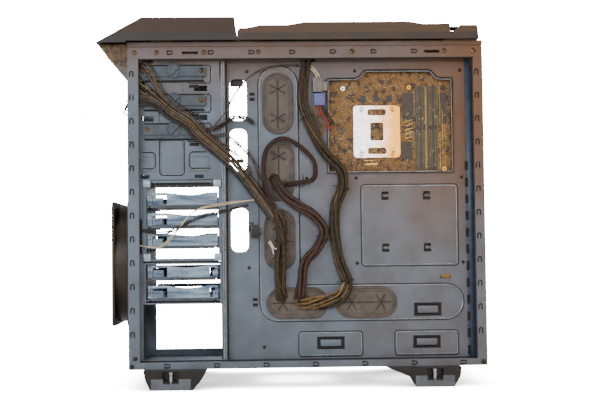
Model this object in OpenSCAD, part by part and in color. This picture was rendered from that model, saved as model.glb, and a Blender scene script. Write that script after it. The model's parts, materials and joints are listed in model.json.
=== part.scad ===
// Full-tower computer case with its side panels and front bezel off, as it stands on a bench.
// +Z is up, the front faces -Y, and the cable side (behind the motherboard tray) faces +X.
// Sheet shapes are drawn as (u, v): u runs back from the frame's front edge, v up from its bottom edge.

/* [Frame] */
// Depth of the steel frame, front edge to rear edge
frame_d = 514; // [480:1:640]
// Height of the steel frame without feet and plastic top
frame_h = 470; // [464:1:600]
// Width of the steel frame over its side flanges
frame_w = 220; // [212:1:250]
// Thickness of the sheet steel
steel_t = 1; // [0.8:0.1:1.2]
// Width of the front posts' side flanges
front_post_w = 16; // [14:1:20]
// Width of the rear posts' side flanges
rear_post_w = 14; // [12:1:18]
// Height of the bottom rails
bottom_rail_h = 10; // [8:1:11]
// Height of the top rails
top_rail_h = 24; // [22:1:28]
// Step between the top rail's skirt and its screw flange
rail_step = 1.5; // [1:0.1:2]
// Pitch of the side-panel hook slots up the posts
hook_pitch = 34; // [30:1:38]

/* [Motherboard tray] */
// Gap from the side opening to the tray, where the cables run
tray_gap = 26; // [24:1:32]
// Height that the pressed areas of a sheet stand proud
press_h = 1.6; // [1.2:0.1:2.2]
// Height of the threaded standoffs
standoff_h = 6.5; // [6:0.5:8]
// Thickness of the circuit board
board_t = 1.6; // [1.4:0.1:2]
// Length of a cable grommet's hole
grommet_l = 88; // [84:1:92]
// Width of a cable grommet's hole
grommet_w = 43; // [38:1:45]
// Width of the grommet's lip around its hole
grommet_lip = 1.6; // [1:0.1:2]

/* [Drive bays] */
// Pitch of the 5.25 inch bays
bay_pitch = 42.4; // [42.4:0.1:43]
// Gap from the side opening to the bay walls
bay_gap = 14; // [12:1:16]
// Distance from the front edge to the divider behind the bays
bay_depth = 137; // [134:1:150]
// Pitch of the 3.5 inch drive trays
tray_pitch = 29.6; // [28:0.1:32]
// Width of a 3.5 inch drive tray
tray_w = 102; // [101:0.5:104]
// Length of a 3.5 inch drive tray
tray_l = 165; // [155:1:168]
// Radius of a bay lock's knob
knob_r = 9.3; // [8:0.1:10]

/* [Fans] */
// Size of the front fan
front_fan_s = 180; // [170:1:184]
// Depth of the front fan
front_fan_t = 26; // [22:1:30]
// Size of the top fan
top_fan_s = 200; // [190:1:202]
// Depth of the top fan
top_fan_t = 20; // [18:1:20]
// Size of the rear fan
rear_fan_s = 120; // [110:1:120]
// Depth of the rear fan
rear_fan_t = 25; // [20:1:25]

/* [Plastic top and feet] */
// Width over the plastic top and the feet
top_w = 250; // [240:1:270]
// Overhang of the hood in front of the frame
hood_over = 43; // [38:1:46]
// Height of the hood above the frame
hood_h = 33; // [30:1:38]
// Height of the feet
foot_h = 28; // [24:1:36]

/* [Hidden] */
$fn = 32;

// Colours
STEEL = "#8d929c";
BLACK_STEEL = "#3a3430";
BLACK_PLASTIC = "#33302e";
TRAY_BLUE = "#7f9bb8";
BRASS = "#c9a24a";
RUBBER = "#6f6b68";
BOARD = "#7d5a2c";

// Overall placing
rear_proud = 6;
total_d = hood_over + frame_d + rear_proud;
y_front = hood_over - total_d / 2;
z_base = foot_h;
x_out = frame_w / 2;
x_tray = x_out - tray_gap;
x_bay = x_out - bay_gap;
gap = 0.3;
wire_v = frame_h - 65;
lip_w = 10;
roof_v = frame_h - steel_t;
rail_v = frame_h - top_rail_h;
skirt_h = 6.5;
post_top_v = rail_v;

// Motherboard: the ATX hole pattern, measured from the rear column and the top row
atx_u = [-227.33, -154.94, 0];
atx_v = [0, -157.48, -281.94];
hole_rear_u = frame_d - 29;
hole_top_v = frame_h - 40;
board_w = 244;
board_l = 305;
board_rear_u = hole_rear_u + 10.16;
board_top_v = hole_top_v + 6.35;
board_front_u = board_rear_u - board_w;
x_board = x_tray - standoff_h - board_t;
standoff_r = 3;
screw_r = 1.6;
screw_hole_r = 1.8;

// Drive bays and cages
bay_lock_v = [for (i = [0:2]) frame_h - 40.5 - i * bay_pitch];
cage_u = 21;
cage_w = 112;
cage_top_v = 272;
cage_h = 118;
cage_t = 1.2;
cage_x0 = -78;
cage_x1 = x_bay - steel_t;
low_cage_top_v = cage_top_v - cage_h - 2;
low_cage_h = 60;
tray_u = cage_u + (cage_w - tray_w) / 2;
tray_v = concat([for (i = [0:2]) cage_top_v - 38 - i * tray_pitch],
                [for (i = [0:1]) low_cage_top_v - 23 - i * tray_pitch]);
tray_x1 = cage_x1 - 4;
tray_end_h = 20;
tray_x0 = tray_x1 - tray_l;
ledge_w = (cage_w - tray_w) / 2 + 2.4;

// Fans
front_fan_v = 151;
top_fan_u = 290;
rear_fan_x = -42;
rear_fan_v = frame_h - 92;
fan_clear = 1.5;
shaft_r = 1.5;
shaft_hole_r = 1.55;

// Power supply
psu_w = 150;
psu_h = 86;
psu_l = 160;
psu_x0 = x_tray - 4 - psu_w;
psu_v0 = bottom_rail_h + 1;
psu_u0 = frame_d - steel_t - psu_l;

// Processor and its cooler
cpu_u = 362;
cpu_v = 341;
plate_w = 69;
plate_h = 77;
plate_t = 2.2;
plate_x0 = x_tray - standoff_h;

// Grommets: centre u, centre v, and whether the long side lies level
grommet_at = [[216.5, 382.5, false], [217, 284.5, false], [217.5, 183, false],
              [242, 91.3, true], [342.3, 91.3, true]];

// --- placing helpers ---------------------------------------------------------

// A sheet that lies in the side plane: the 2D shape is (u, v), and x0 its inner face
module side(x0, t) translate([x0, y_front, z_base]) rotate([90, 0, 90]) linear_extrude(t) children();

// A sheet that faces front or rear: the 2D shape is (x, v), and u0 its front face
module face(u0, t) translate([0, y_front + u0 + t, z_base]) rotate([90, 0, 0]) linear_extrude(t) children();

// A sheet that lies level: the 2D shape is (x, u), and v0 its underside
module level(v0, t) translate([0, y_front, z_base + v0]) linear_extrude(t) children();

module at(x, u, v) translate([x, y_front + u, z_base + v]) children();

// A box from its low corner (x, u, v) and its size
module block(x, u, v, dx, du, dv) at(x, u, v) cube([dx, du, dv]);

module both_sides() { children(); mirror([1, 0, 0]) children(); }

// --- 2D helpers --------------------------------------------------------------

function arc_pts(cx, cy, r, a0, n) = [for (i = [0:n]) [cx + r * cos(a0 + 90 * i / n), cy + r * sin(a0 + 90 * i / n)]];

// Points of a rectangle from (x0, y0) to (x1, y1) with round corners
function round_pts(x0, y0, x1, y1, r, n = 5) =
    concat(arc_pts(x1 - r, y1 - r, r, 0, n), arc_pts(x0 + r, y1 - r, r, 90, n),
           arc_pts(x0 + r, y0 + r, r, 180, n), arc_pts(x1 - r, y0 + r, r, 270, n));

module round_rect(x0, y0, x1, y1, r, n = 5) polygon(round_pts(x0, y0, x1, y1, r, n));

module rect(x0, y0, x1, y1) translate([x0, y0]) square([x1 - x0, y1 - y0]);

// A hook slot for a side panel: a lanced tab with a slot round three sides, open towards dir degrees
module hook_slot(u, v, dir) {
    translate([u, v]) rotate(dir) difference() {
        translate([-2.6, -3.2]) square([5.2, 7]);
        translate([-1.5, -3.3]) square([3, 5.8]);
    }
}

// --- chassis sheets ----------------------------------------------------------

hook_v0 = 50;
hook_count = floor((rail_v - 14 - hook_v0) / hook_pitch);
bottom_hook_u = [for (i = [0:6]) frame_d * (0.107 + 0.1375 * i)];
top_screw_u = [10, 42, 110.5, 189, 325, 459, frame_d - 12.5];
rail_x = x_out - steel_t - rail_step;

module bottom_pan() color(STEEL) {
    difference() {
        union() {
            level(0, steel_t) difference() {
                rect(-x_out, 0, x_out, frame_d);
                for (i = [0:7], s = [-1, 1])
                    round_rect(psu_x0 + 18 + i * 15, psu_u0 + 84 + s * 34 - 28,
                               psu_x0 + 25 + i * 15, psu_u0 + 84 + s * 34 + 28, 3, 3);
                for (i = [0:6]) round_rect(-50 + i * 15, 190, -43 + i * 15, 290, 3, 3);
            }
            both_sides() {
                side(x_out - steel_t, steel_t) difference() {
                    rect(steel_t, 0, frame_d - steel_t, bottom_rail_h);
                    for (u = bottom_hook_u) hook_slot(u, bottom_rail_h / 2, 90);
                }
                block(x_out - lip_w, front_post_w, bottom_rail_h - steel_t,
                      lip_w - steel_t / 2, frame_d - front_post_w - rear_post_w, steel_t);
            }
        }
        for (u = foot_u, s = [-1, 1]) at(s * foot_x, u, -1) cylinder(r = screw_hole_r, h = 4);
    }
}

module top_panel() color(STEEL) {
    level(roof_v, steel_t) difference() {
        rect(-x_out, 0, x_out, frame_d);
        translate([0, top_fan_u]) circle(r = top_fan_s / 2 - 8, $fn = 64);
        round_rect(-60, 24, 60, 60, 4);
        round_rect(x_tray + 4, 236, x_tray + 20, 276, 4);
    }
    both_sides() {
        side(x_out - steel_t, steel_t) rect(0, frame_h - skirt_h, frame_d, frame_h);
        side(rail_x - steel_t, x_out - rail_x + steel_t)
            rect(0, frame_h - skirt_h, frame_d, frame_h - skirt_h + steel_t);
        side(rail_x - steel_t, steel_t) difference() {
            rect(0, rail_v, frame_d, frame_h - skirt_h + steel_t);
            for (u = top_screw_u) translate([u, frame_h - 15]) circle(r = screw_hole_r);
            for (i = [0:6]) hook_slot(61 + i * 59, frame_h - 15, 90);
            rect(79, frame_h - 17.5, 102, frame_h - 13.5);
            rect(430, frame_h - 17.5, 452, frame_h - 13.5);
        }
        side(x_out - lip_w, rail_x - x_out + lip_w - steel_t / 2)
            rect(front_post_w, rail_v, frame_d - rear_post_w, rail_v + steel_t);
    }
}

// One side of a post: the flange with its hook slots and the return behind it
module post(u0, u1, return_u, dir) {
    both_sides() {
        side(x_out - steel_t, steel_t) difference() {
            rect(u0, bottom_rail_h, u1, post_top_v);
            for (i = [0:hook_count]) hook_slot((u0 + u1) / 2 - 2, hook_v0 + i * hook_pitch, dir);
        }
        block(x_out - lip_w, return_u, bottom_rail_h, lip_w - steel_t / 2, steel_t, post_top_v - bottom_rail_h);
    }
}

bay_open_w = 149;
bay_open_v0 = cage_top_v + 6;
fan_open_r = front_fan_s / 2 - 6;

module front_frame() color(STEEL) {
    face(0, steel_t) difference() {
        rect(-x_out + steel_t / 2, steel_t, x_out - steel_t / 2, rail_v);
        rect(-bay_open_w / 2, bay_open_v0, bay_open_w / 2, rail_v - 4);
        translate([0, front_fan_v]) circle(r = fan_open_r, $fn = 64);
        for (s = [-1, 1]) {
            rect(s * 92 - 6, 290, s * 92 + 6, wire_v + 15);
            rect(s * 92 - 6, 165, s * 92 + 6, 215);
        }
        for (i = [-3:3]) round_rect(i * 24 - 8, 18, i * 24 + 8, 40, 3, 3);
    }
    post(0, front_post_w, front_post_w - steel_t, 0);
}

io_x0 = x_board - 46;
io_x1 = x_board - 1.5;
io_v0 = board_top_v - 167;
io_v1 = io_v0 + 159;
slot_pitch = 20.32;
slot_v = [for (i = [0:6]) io_v0 - 18 - i * slot_pitch];
slot_x1 = x_board - 2;
slot_x0 = slot_x1 - 105;

module rear_panel() color(STEEL) {
    face(frame_d - steel_t, steel_t) difference() {
        rect(-x_out + steel_t / 2, steel_t, x_out - steel_t / 2, rail_v);
        rect(io_x0, io_v0, io_x1, io_v1);
        for (v = slot_v) rect(slot_x0 + 12, v - 6.5, slot_x1, v + 6.5);
        translate([rear_fan_x, rear_fan_v]) circle(r = rear_fan_s / 2 - 4, $fn = 64);
        for (sx = [-1, 1], sv = [-1, 1])
            translate([rear_fan_x + sx * 52.5, rear_fan_v + sv * 52.5]) circle(r = 2.2);
        rect(psu_x0 + 5, psu_v0 + 5, psu_x0 + psu_w - 5, psu_v0 + psu_h - 5);
        for (v = slot_v) translate([slot_x0 + 5, v]) circle(r = screw_hole_r);
    }
    post(frame_d - rear_post_w, frame_d, frame_d - rear_post_w, 0);
}

// --- motherboard tray --------------------------------------------------------

module grommet_shape(g, extra) {
    l = (grommet_l / 2 + extra);
    w = (grommet_w / 2 + extra);
    if (g[2]) round_rect(g[0] - l, g[1] - w, g[0] + l, g[1] + w, w - 0.01, 8);
    else round_rect(g[0] - w, g[1] - l, g[0] + w, g[1] + l, w - 0.01, 8);
}

// The L-shaped pressed area round the grommets, drawn in by the given amount
module cable_area(inset) {
    round_rect(188 + inset, 65 + inset, 246 - inset, 437 - inset, 26 - inset, 8);
    round_rect(188 + inset, 65 + inset, 485 - inset, 117 - inset, 25.5 - inset, 8);
}

// The window behind the processor, drawn out by the given amount
module board_window(extra) {
    polygon([[291 - extra, 282 - extra], [471 + extra, 282 - extra], [471 + extra, 416 + extra],
             [449 + extra, 416 + extra], [440 + extra / 2, 428 + extra], [345 - extra / 2, 428 + extra],
             [334 - extra, 416 + extra], [291 - extra, 416 + extra]]);
}

module square_area(inset) round_rect(337 + inset, 144 + inset, 478 - inset, 262 - inset, 5 - inset, 4);

module tie_area(u, inset) round_rect(u + inset, 14 + inset, u + 92 - inset, 49 - inset, 4 - inset, 4);

tray_slots = [[146, 358, 419], [146, 284, 346], [147, 166.5, 230]];
tie_anchor = [[179, 393], [181, 93]];
tie_area_u = [244, 384];
square_holes = [for (u = [372, 433], v = [170, 246]) [u, v]];
tray_u0 = bay_depth + 2;
tray_u1 = frame_d - rear_post_w;
tray_top_v = rail_v + 18;

// Every hole that goes through the tray, pressed or not
module tray_holes() {
    for (s = tray_slots) round_rect(s[0], s[1], s[0] + 25, s[2], 9, 6);
    for (g = grommet_at) grommet_shape(g, 0);
    for (a = tie_anchor) for (s = [-1, 1]) rect(a[0] - 3.5, a[1] + s * 4 - 2, a[0] + 3.5, a[1] + s * 4 + 2);
    for (u = tie_area_u, s = [-1, 1]) rect(u + 26, 33 + s * 7 - 2, u + 66, 33 + s * 7 + 2);
    for (s = [-1, 1]) rect(412, 80 + s * 7 - 2.5, 452, 80 + s * 7 + 2.5);
    for (h = square_holes) for (s = [-1, 1]) rect(h[0] - 5, h[1] + s * 4 - 2, h[0] + 5, h[1] + s * 4 + 2);
    board_window(0);
    for (u = atx_u, v = atx_v) translate([hole_rear_u + u, hole_top_v + v]) circle(r = screw_hole_r);
    for (p = [[172, 430], [172, 273], [172.5, 143], [193.5, 28], [493, 55]]) translate(p) circle(r = 2.4);
    rect(455, 124, 462, 130);
}

module motherboard_tray() color(STEEL) difference() {
    union() {
        side(x_tray, steel_t) difference() {
            rect(tray_u0, steel_t, tray_u1, tray_top_v);
            cable_area(1);
            square_area(1);
            for (u = tie_area_u) tie_area(u, 1);
            rect(252, rail_v - 2, 272, tray_top_v + 1);
        }
        side(x_tray, press_h + steel_t) {
            difference() { cable_area(0); cable_area(1); }
            difference() { square_area(0); square_area(1); }
            for (u = tie_area_u) difference() { tie_area(u, 0); tie_area(u, 1); }
        }
        side(x_tray + press_h, steel_t) {
            cable_area(0.5);
            square_area(0.5);
            for (u = tie_area_u) tie_area(u, 0.5);
        }
        side(x_tray, press_h + steel_t) difference() { board_window(4); board_window(2.8); }
        block(x_tray, tray_u0, bottom_rail_h, bay_gap, steel_t, rail_v - bottom_rail_h - gap);
    }
    side(x_tray - 1, press_h + steel_t + 2) tray_holes();
}

// The pieces that a stadium grommet is cut through: a long slit and a star of slits at each end
module grommet_slits(g) {
    translate([g[0], g[1]]) rotate(g[2] ? 0 : 90) {
        translate([-34, -0.4]) square([68, 0.8]);
        for (s = [-1, 1], a = [60, 120]) translate([s * 21, 0]) rotate(a) translate([-15, -0.4]) square([30, 0.8]);
    }
}

module grommets() color(RUBBER) for (g = grommet_at) difference() {
    union() {
        side(x_tray + press_h + steel_t, 1.2) grommet_shape(g, grommet_lip);
        side(x_tray + press_h - 1, steel_t + 1.5) grommet_shape(g, -gap);
    }
    side(x_tray - 1, press_h + steel_t + 4) grommet_slits(g);
    side(x_tray - 1, press_h + steel_t + 0.6) grommet_shape(g, -3);
}

// --- drive bays --------------------------------------------------------------

lock_u0 = 22.5;
lock_l = 89;
knob_u = 66.5;
bay_window = [44, bay_open_v0, 80, rail_v - 4];

module bay_holes() {
    for (i = [0:1]) rect(95, bay_lock_v[i] - 29, 114, bay_lock_v[i] - 21);
    rect(18, bay_lock_v[1] - 29, 36, bay_lock_v[1] - 23);
    for (u = [17, 95]) rect(u, cage_top_v + 2, u + 13, cage_top_v + 7);
    for (v = [bay_lock_v[2] - 34]) for (u = [22, 28]) translate([u, v - 12]) circle(r = 1);
}

module bay_wall_sheet() {
    difference() {
        union() {
            side(x_bay - steel_t, steel_t) difference() {
                rect(steel_t, steel_t, bay_depth, rail_v + 14);
                rect(cage_u - 1, bottom_rail_h + 2, cage_u + cage_w + 1, cage_top_v);
                rect(0, wire_v - 10, front_post_w + 8, wire_v + 10);
                rect(0, 165, cage_u, 215);
                round_rect(bay_window[0], bay_window[1], bay_window[2], bay_window[3], 5, 4);
            }
            side(x_bay - steel_t - press_h, steel_t + press_h) difference() {
                round_rect(bay_window[0] - 1, bay_window[1] - 1, bay_window[2] + 1, bay_window[3] + 1, 6, 4);
                round_rect(bay_window[0], bay_window[1], bay_window[2], bay_window[3], 5, 4);
            }
            side(x_bay - steel_t - press_h, steel_t)
                round_rect(bay_window[0] - 0.5, bay_window[1] - 0.5, bay_window[2] + 0.5, bay_window[3] + 0.5, 5.5, 4);
            side(x_bay - steel_t / 2, steel_t / 2 + 0.7) {
                for (u = [[16.5, 40], [86, 116]]) difference() {
                    round_rect(u[0], bay_lock_v[2] - 61, u[1], bay_lock_v[2] - 39, 3, 3);
                    round_rect(u[0] + 1.4, bay_lock_v[2] - 59.6, u[1] - 1.4, bay_lock_v[2] - 40.4, 2, 3);
                }
            }
            block(x_bay - lip_w, bay_depth - steel_t, bottom_rail_h, lip_w - steel_t / 2, steel_t,
                  rail_v - bottom_rail_h);
        }
        side(x_bay - press_h - 3, press_h + 5) bay_holes();
        for (v = bay_lock_v) at(x_bay - press_h - 4, knob_u, v) rotate([0, 90, 0]) cylinder(r = 3.4, h = 12);
    }
}

module bay_wall_right() color(STEEL) bay_wall_sheet();

module bay_wall_left() color(STEEL) mirror([1, 0, 0]) bay_wall_sheet();

lock_t = 6;
knob_pocket = knob_r + gap;

module lock_bars() color("#7d8791") for (v = bay_lock_v) difference() {
    union() {
        block(x_bay, lock_u0, v - 8, lock_t, lock_l, 15);
        block(x_bay, lock_u0, v - 13.5, lock_t - 2.5, lock_l - 4, 5.5);
        at(x_bay, knob_u, v) rotate([0, 90, 0]) cylinder(r = knob_r + 1.6, h = lock_t, $fn = 48);
    }
    at(x_bay + 2, knob_u, v) rotate([0, 90, 0]) cylinder(r = knob_pocket, h = lock_t, $fn = 48);
    at(x_bay - 1, knob_u, v) rotate([0, 90, 0]) cylinder(r = 2.55, h = lock_t);
    for (u = [lock_u0 + 5, lock_u0 + lock_l - 5])
        at(x_bay + 1.5, u, v) rotate([0, 90, 0]) cylinder(r = screw_hole_r, h = lock_t);
}

module lock_knob(i) color("#8a949e") at(x_bay, knob_u, bay_lock_v[i]) {
    translate([2.3, 0, 0]) rotate([0, 90, 0]) cylinder(r = knob_r, h = lock_t - 1.5, $fn = 48);
    translate([-3, 0, 0]) rotate([0, 90, 0]) cylinder(r = 2.5, h = 5.4);
    translate([lock_t + 0.7, 0, 0]) rotate([45, 0, 0]) translate([0, -knob_r + 1, -2.4]) cube([3, 2 * knob_r - 2, 4.8]);
}

// A drive cage: a rectangular tube open at both sides, with a ledge under each tray
module cage(top_v, h, trays, frame_w_) difference() {
    union() {
        difference() {
            block(cage_x0, cage_u, top_v - h, cage_x1 - cage_x0, cage_w, h);
            block(cage_x0 - 1, cage_u + cage_t, top_v - h + cage_t, cage_x1 - cage_x0 + 2,
                  cage_w - 2 * cage_t, h - 2 * cage_t);
        }
        for (v = trays, s = [0, 1])
            block(cage_x0, s == 0 ? cage_u + cage_t / 2 : cage_u + cage_w - cage_t / 2 - ledge_w, v - 2.4,
                  cage_x1 - cage_x0, ledge_w, 1.6);
        side(cage_x1 - steel_t, steel_t) difference() {
            rect(cage_u - 2.5, top_v - h, cage_u + cage_w + 2.5, top_v);
            rect(cage_u + frame_w_, top_v - h + frame_w_ * 0.9, cage_u + cage_w - frame_w_, top_v - frame_w_ * 0.9);
        }
    }
    for (i = [0:2]) block(cage_x0 + 30 + i * 45, cage_u - 1, top_v - h + 14, 26, cage_w + 2, 8);
}

module hdd_cage_upper() color(STEEL) {
    cage(cage_top_v - 1, cage_h - 1, [for (i = [0:2]) tray_v[i]], 4);
    for (u = [cage_u, cage_u + cage_w - 10], v = [cage_top_v - 11, cage_top_v - cage_h])
        block(cage_x1, u, v, 2.5, 10, 10);
}

module hdd_cage_lower() color(STEEL) cage(low_cage_top_v, low_cage_h, [for (i = [3:4]) tray_v[i]], 2.6);

// A 3.5 inch drive tray. It draws out towards -X, and its low end wall is on the cable side
module hdd_tray(i) color(TRAY_BLUE) {
    v = tray_v[i] - 0.5;
    difference() {
        union() {
            block(tray_x0, tray_u, v, tray_l, tray_w, 1.8);
            for (u = [tray_u, tray_u + tray_w - 2.5]) block(tray_x0, u, v, tray_l, 2.5, 13);
            block(tray_x1 - 2, tray_u, v, 2, tray_w, tray_end_h);
            block(tray_x0 - 8, tray_u - 2, v, 8, tray_w + 4, 18);
        }
        // dip in the end wall's top edge
        at(tray_x1 - 3, tray_u + tray_w / 2 + 6, v + tray_end_h + 108)
            rotate([0, 90, 0]) cylinder(r = 112, h = 4, $fn = 128);
        // the gap round the clip, and its mirror image in the lower cage's trays
        side(tray_x1 - 3, 4) {
            rect(tray_u + 23, v + 3, tray_u + 28, v + 16);
            rect(tray_u + 8, v + 12.5, tray_u + 28, v + 16);
            if (i > 2) {
                rect(tray_u + tray_w - 12, v + 3, tray_u + tray_w - 8.5, v + 16);
                rect(tray_u + tray_w - 12, v + 12.5, tray_u + tray_w - 5, v + 16);
            }
        }
        // vents in the floor
        for (k = [0:3]) block(tray_x0 + 22 + k * 34, tray_u + 16, v - 1, 22, tray_w - 32, 4);
        // finger slot in the handle
        block(tray_x0 - 9, tray_u + 20, v + 4, 10, tray_w - 40, 9);
        block(tray_x0 - 6, tray_u + 6, v + 3, 5, 8, 20);
    }
    block(tray_x1 - 6, tray_u + 9, v + 1.8, 3, 13, 11);
}

// --- plastic top -------------------------------------------------------------

plastic_t = 2.5;
hood_top = frame_h + hood_h;
hood_under = frame_h - 2.5;
hood_back_u = 155;
hood_x = top_w / 2;
button_u = 44;
power_r = 9;
reset_r = 4;
reset_x = 22;
speed_x = 45;
speed_r = 8;
usb_x = [-100, -82, -64, -46];
audio_x = [72, 86];
press_travel = 2;
ports_v = hood_top - 20;
tray_recess = 8;

module hood() color(BLACK_PLASTIC) difference() {
    side(-hood_x, top_w) polygon([[-hood_over, hood_under], [22, hood_top], [hood_back_u, hood_top],
                                  [hood_back_u + 4, frame_h], [0, frame_h], [0, hood_under]]);
    difference() {
        side(-hood_x + plastic_t, top_w - 2 * plastic_t)
            polygon([[-hood_over + 7, hood_under - 1], [-hood_over + 7, hood_under + 1.3],
                     [23, hood_top - plastic_t], [hood_back_u - plastic_t, hood_top - plastic_t],
                     [hood_back_u + 1, frame_h - 1], [0, frame_h - 1], [0, hood_under - 1]]);
        block(-92.5, 72.5, hood_top - tray_recess - plastic_t, 185, 75, tray_recess + plastic_t);
        at(speed_x, button_u, hood_top - tray_recess - plastic_t) cylinder(r = speed_r + 6, h = 12);
        for (x = [-112, 60, 106]) block(x, button_u - 4, ports_v + 1.6, 4, 8, 20);
    }
    block(-90, 75, hood_top - tray_recess, 180, 70, tray_recess + 1);
    at(0, button_u, hood_top - 5) cylinder(r = power_r + gap, h = 8, $fn = 48);
    at(reset_x, button_u, hood_top - 5) cylinder(r = reset_r + gap, h = 8);
    at(speed_x, button_u, hood_top - tray_recess) cylinder(r = speed_r + 3.5, h = 12, $fn = 48);
    at(speed_x, button_u, hood_top - 20) cylinder(r = 2.4, h = 20);
    for (x = usb_x) block(x - 7.2, button_u - 3.5, hood_top - 5, 14.4, 7, 8);
    for (x = audio_x) at(x, button_u, hood_top - 5) cylinder(r = 4.4, h = 8);
}

// The board under the hood with its sockets, switches and speed control
module front_ports() color("#2f4a38") {
    difference() {
        union() {
            block(-113, 28, ports_v, 224, 34, 1.6);
            for (x = usb_x) block(x - 6.6, button_u - 2.9, ports_v + 1.5, 13.2, 5.8, 18);
            for (x = audio_x) at(x, button_u, ports_v + 1.5) cylinder(r = 4, h = 18);
            block(speed_x - 6, button_u - 6, ports_v + 1.5, 12, 12, 5);
        }
        for (x = usb_x) difference() {
            block(x - 6.2, button_u - 2.5, hood_top - 12, 12.4, 5, 14);
            block(x - 5.5, button_u - 1.9, hood_top - 13, 11, 1.9, 11);
        }
        for (x = audio_x) at(x, button_u, hood_top - 13) cylinder(r = 1.8, h = 14);
        at(speed_x, button_u, ports_v - 1) cylinder(r = shaft_hole_r, h = 12);
    }
    for (x = [0, reset_x]) block(x - 3, button_u - 3, ports_v + 1.6, 6, 6, 3);
}

// A press button that stops against the hood's underside by its flange
module press_button(x, r) at(x, button_u, hood_top) {
    translate([0, 0, -plastic_t - 2]) cylinder(r = r, h = plastic_t + 2, $fn = 48);
    translate([0, 0, -plastic_t - gap - 2]) cylinder(r = r + 1.5, h = 2, $fn = 48);
    translate([0, 0, -15.4 + press_travel + gap]) cylinder(r = 1.5, h = 11, $fn = 24);
}

module power_button() color("#4a4745") press_button(0, power_r);

module reset_button() color("#4a4745") press_button(reset_x, reset_r);

module fan_speed_knob() color("#4a4745") at(speed_x, button_u, hood_top) {
    difference() {
        translate([0, 0, -tray_recess + gap]) cylinder(r = speed_r, h = tray_recess - gap, $fn = 48);
        for (i = [0:11]) rotate(30 * i) translate([speed_r + 0.4, 0, -tray_recess]) cylinder(r = 0.9, h = 12, $fn = 12);
        translate([-0.6, 2.5, -0.6]) cube([1.2, 8, 2]);
    }
    translate([0, 0, -18]) cylinder(r = shaft_r, h = 11, $fn = 24);
}

// The stepped bracket that carries the hood's front edge, open at the back
bracket_pts = [[-hood_over, hood_under], [-38.5, frame_h - 8], [-33, frame_h - 8], [-31.5, frame_h - 17],
               [-27.5, frame_h - 23], [-21.5, frame_h - 23], [-21.5, frame_h - 30], [-2, frame_h - 36],
               [0, frame_h - 36], [0, hood_under]];

module io_bracket() color(STEEL) difference() {
    side(-108, 216) polygon(bracket_pts);
    side(-106.8, 213.6) translate([1, 1.6]) polygon(bracket_pts);
    block(-100, -hood_over + 3, hood_under - 3, 200, hood_over, 6);
}

rail_w = 24;
rail_pts = [[hood_back_u + 4, frame_h], [hood_back_u + 4, frame_h + 14], [192, frame_h + 21],
            [232, frame_h + 21], [255, frame_h + 25], [frame_d - 108, frame_h + 25],
            [frame_d - 88, frame_h + 21.5], [frame_d - 49, frame_h + 21.5], [frame_d - 48, frame_h + 8],
            [frame_d - 46, frame_h + 8], [frame_d - 34, frame_h + 19.5], [frame_d - 9, frame_h + 19.5],
            [frame_d - 7, frame_h]];

module handle_rails() color(BLACK_PLASTIC) both_sides() difference() {
    side(hood_x - rail_w, rail_w) polygon(rail_pts);
    block(hood_x - rail_w + plastic_t, hood_back_u + 8, frame_h - 1, rail_w - 2 * plastic_t,
          frame_d - hood_back_u - 64, 19.5);
}

deck_v = frame_h + top_fan_t + 1.7;

module top_deck() color(BLACK_PLASTIC) {
    difference() {
        level(deck_v - 1.5, 1.5) rect(-hood_x + rail_w, hood_back_u + 6, hood_x - rail_w, frame_d - 9);
        for (i = [-7:7])
            let (y = i * 12, half = sqrt(92 * 92 - y * y))
                block(-half, top_fan_u + y - 4, deck_v - 3, 2 * half, 8, 5);
        for (i = [0:8]) block(-80 + i * 18, 410, deck_v - 3, 10, 70, 5);
    }
    level(frame_h, deck_v - frame_h - 1) {
        rect(-hood_x + rail_w, frame_d - 11.5, hood_x - rail_w, frame_d - 9);
        rect(-hood_x + rail_w, hood_back_u + 6, hood_x - rail_w, hood_back_u + 8.5);
    }
}

// --- feet --------------------------------------------------------------------

foot_u = [61, frame_d - 78];
foot_x = 98;
foot_in_x = 86;

module feet() color(BLACK_PLASTIC) both_sides() difference() {
    union() {
        side(foot_in_x, hood_x - foot_in_x)
            polygon([[22, 0], [112, 0], [104, -foot_h / 2], [92, -foot_h], [32, -foot_h], [25, -foot_h / 2]]);
        side(foot_in_x, hood_x - foot_in_x)
            polygon([[frame_d - 146, 0], [frame_d - 40, 0], [frame_d - 42, -foot_h / 2],
                     [frame_d - 51, -foot_h], [frame_d - 104, -foot_h], [frame_d - 112, -foot_h / 2]]);
    }
    for (u = foot_u) {
        block(hood_x - 1.5, u - 28, -foot_h - 1, 3, 56, 17);
        block(hood_x - 12, u - 12, -foot_h / 2 - 2, 14, 24, foot_h / 2);
        block(foot_in_x + 4, u - 18, -foot_h - 1, 20, 36, foot_h - 4);
        at(foot_x, u, -foot_h) cylinder(r = screw_hole_r, h = foot_h + 2);
    }
}

module foot_plates() color("#b9b4ab") both_sides() for (u = foot_u) {
    difference() {
        block(hood_x - 1.5, u - 28, -foot_h, 1.5, 56, 16);
        block(hood_x - 3, u - 11, -foot_h + 9, 4, 22, 10);
    }
    at(hood_x - 6, u, -foot_h / 2 - 2) cylinder(r = 3, h = foot_h / 2);
}

// --- fans --------------------------------------------------------------------

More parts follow.
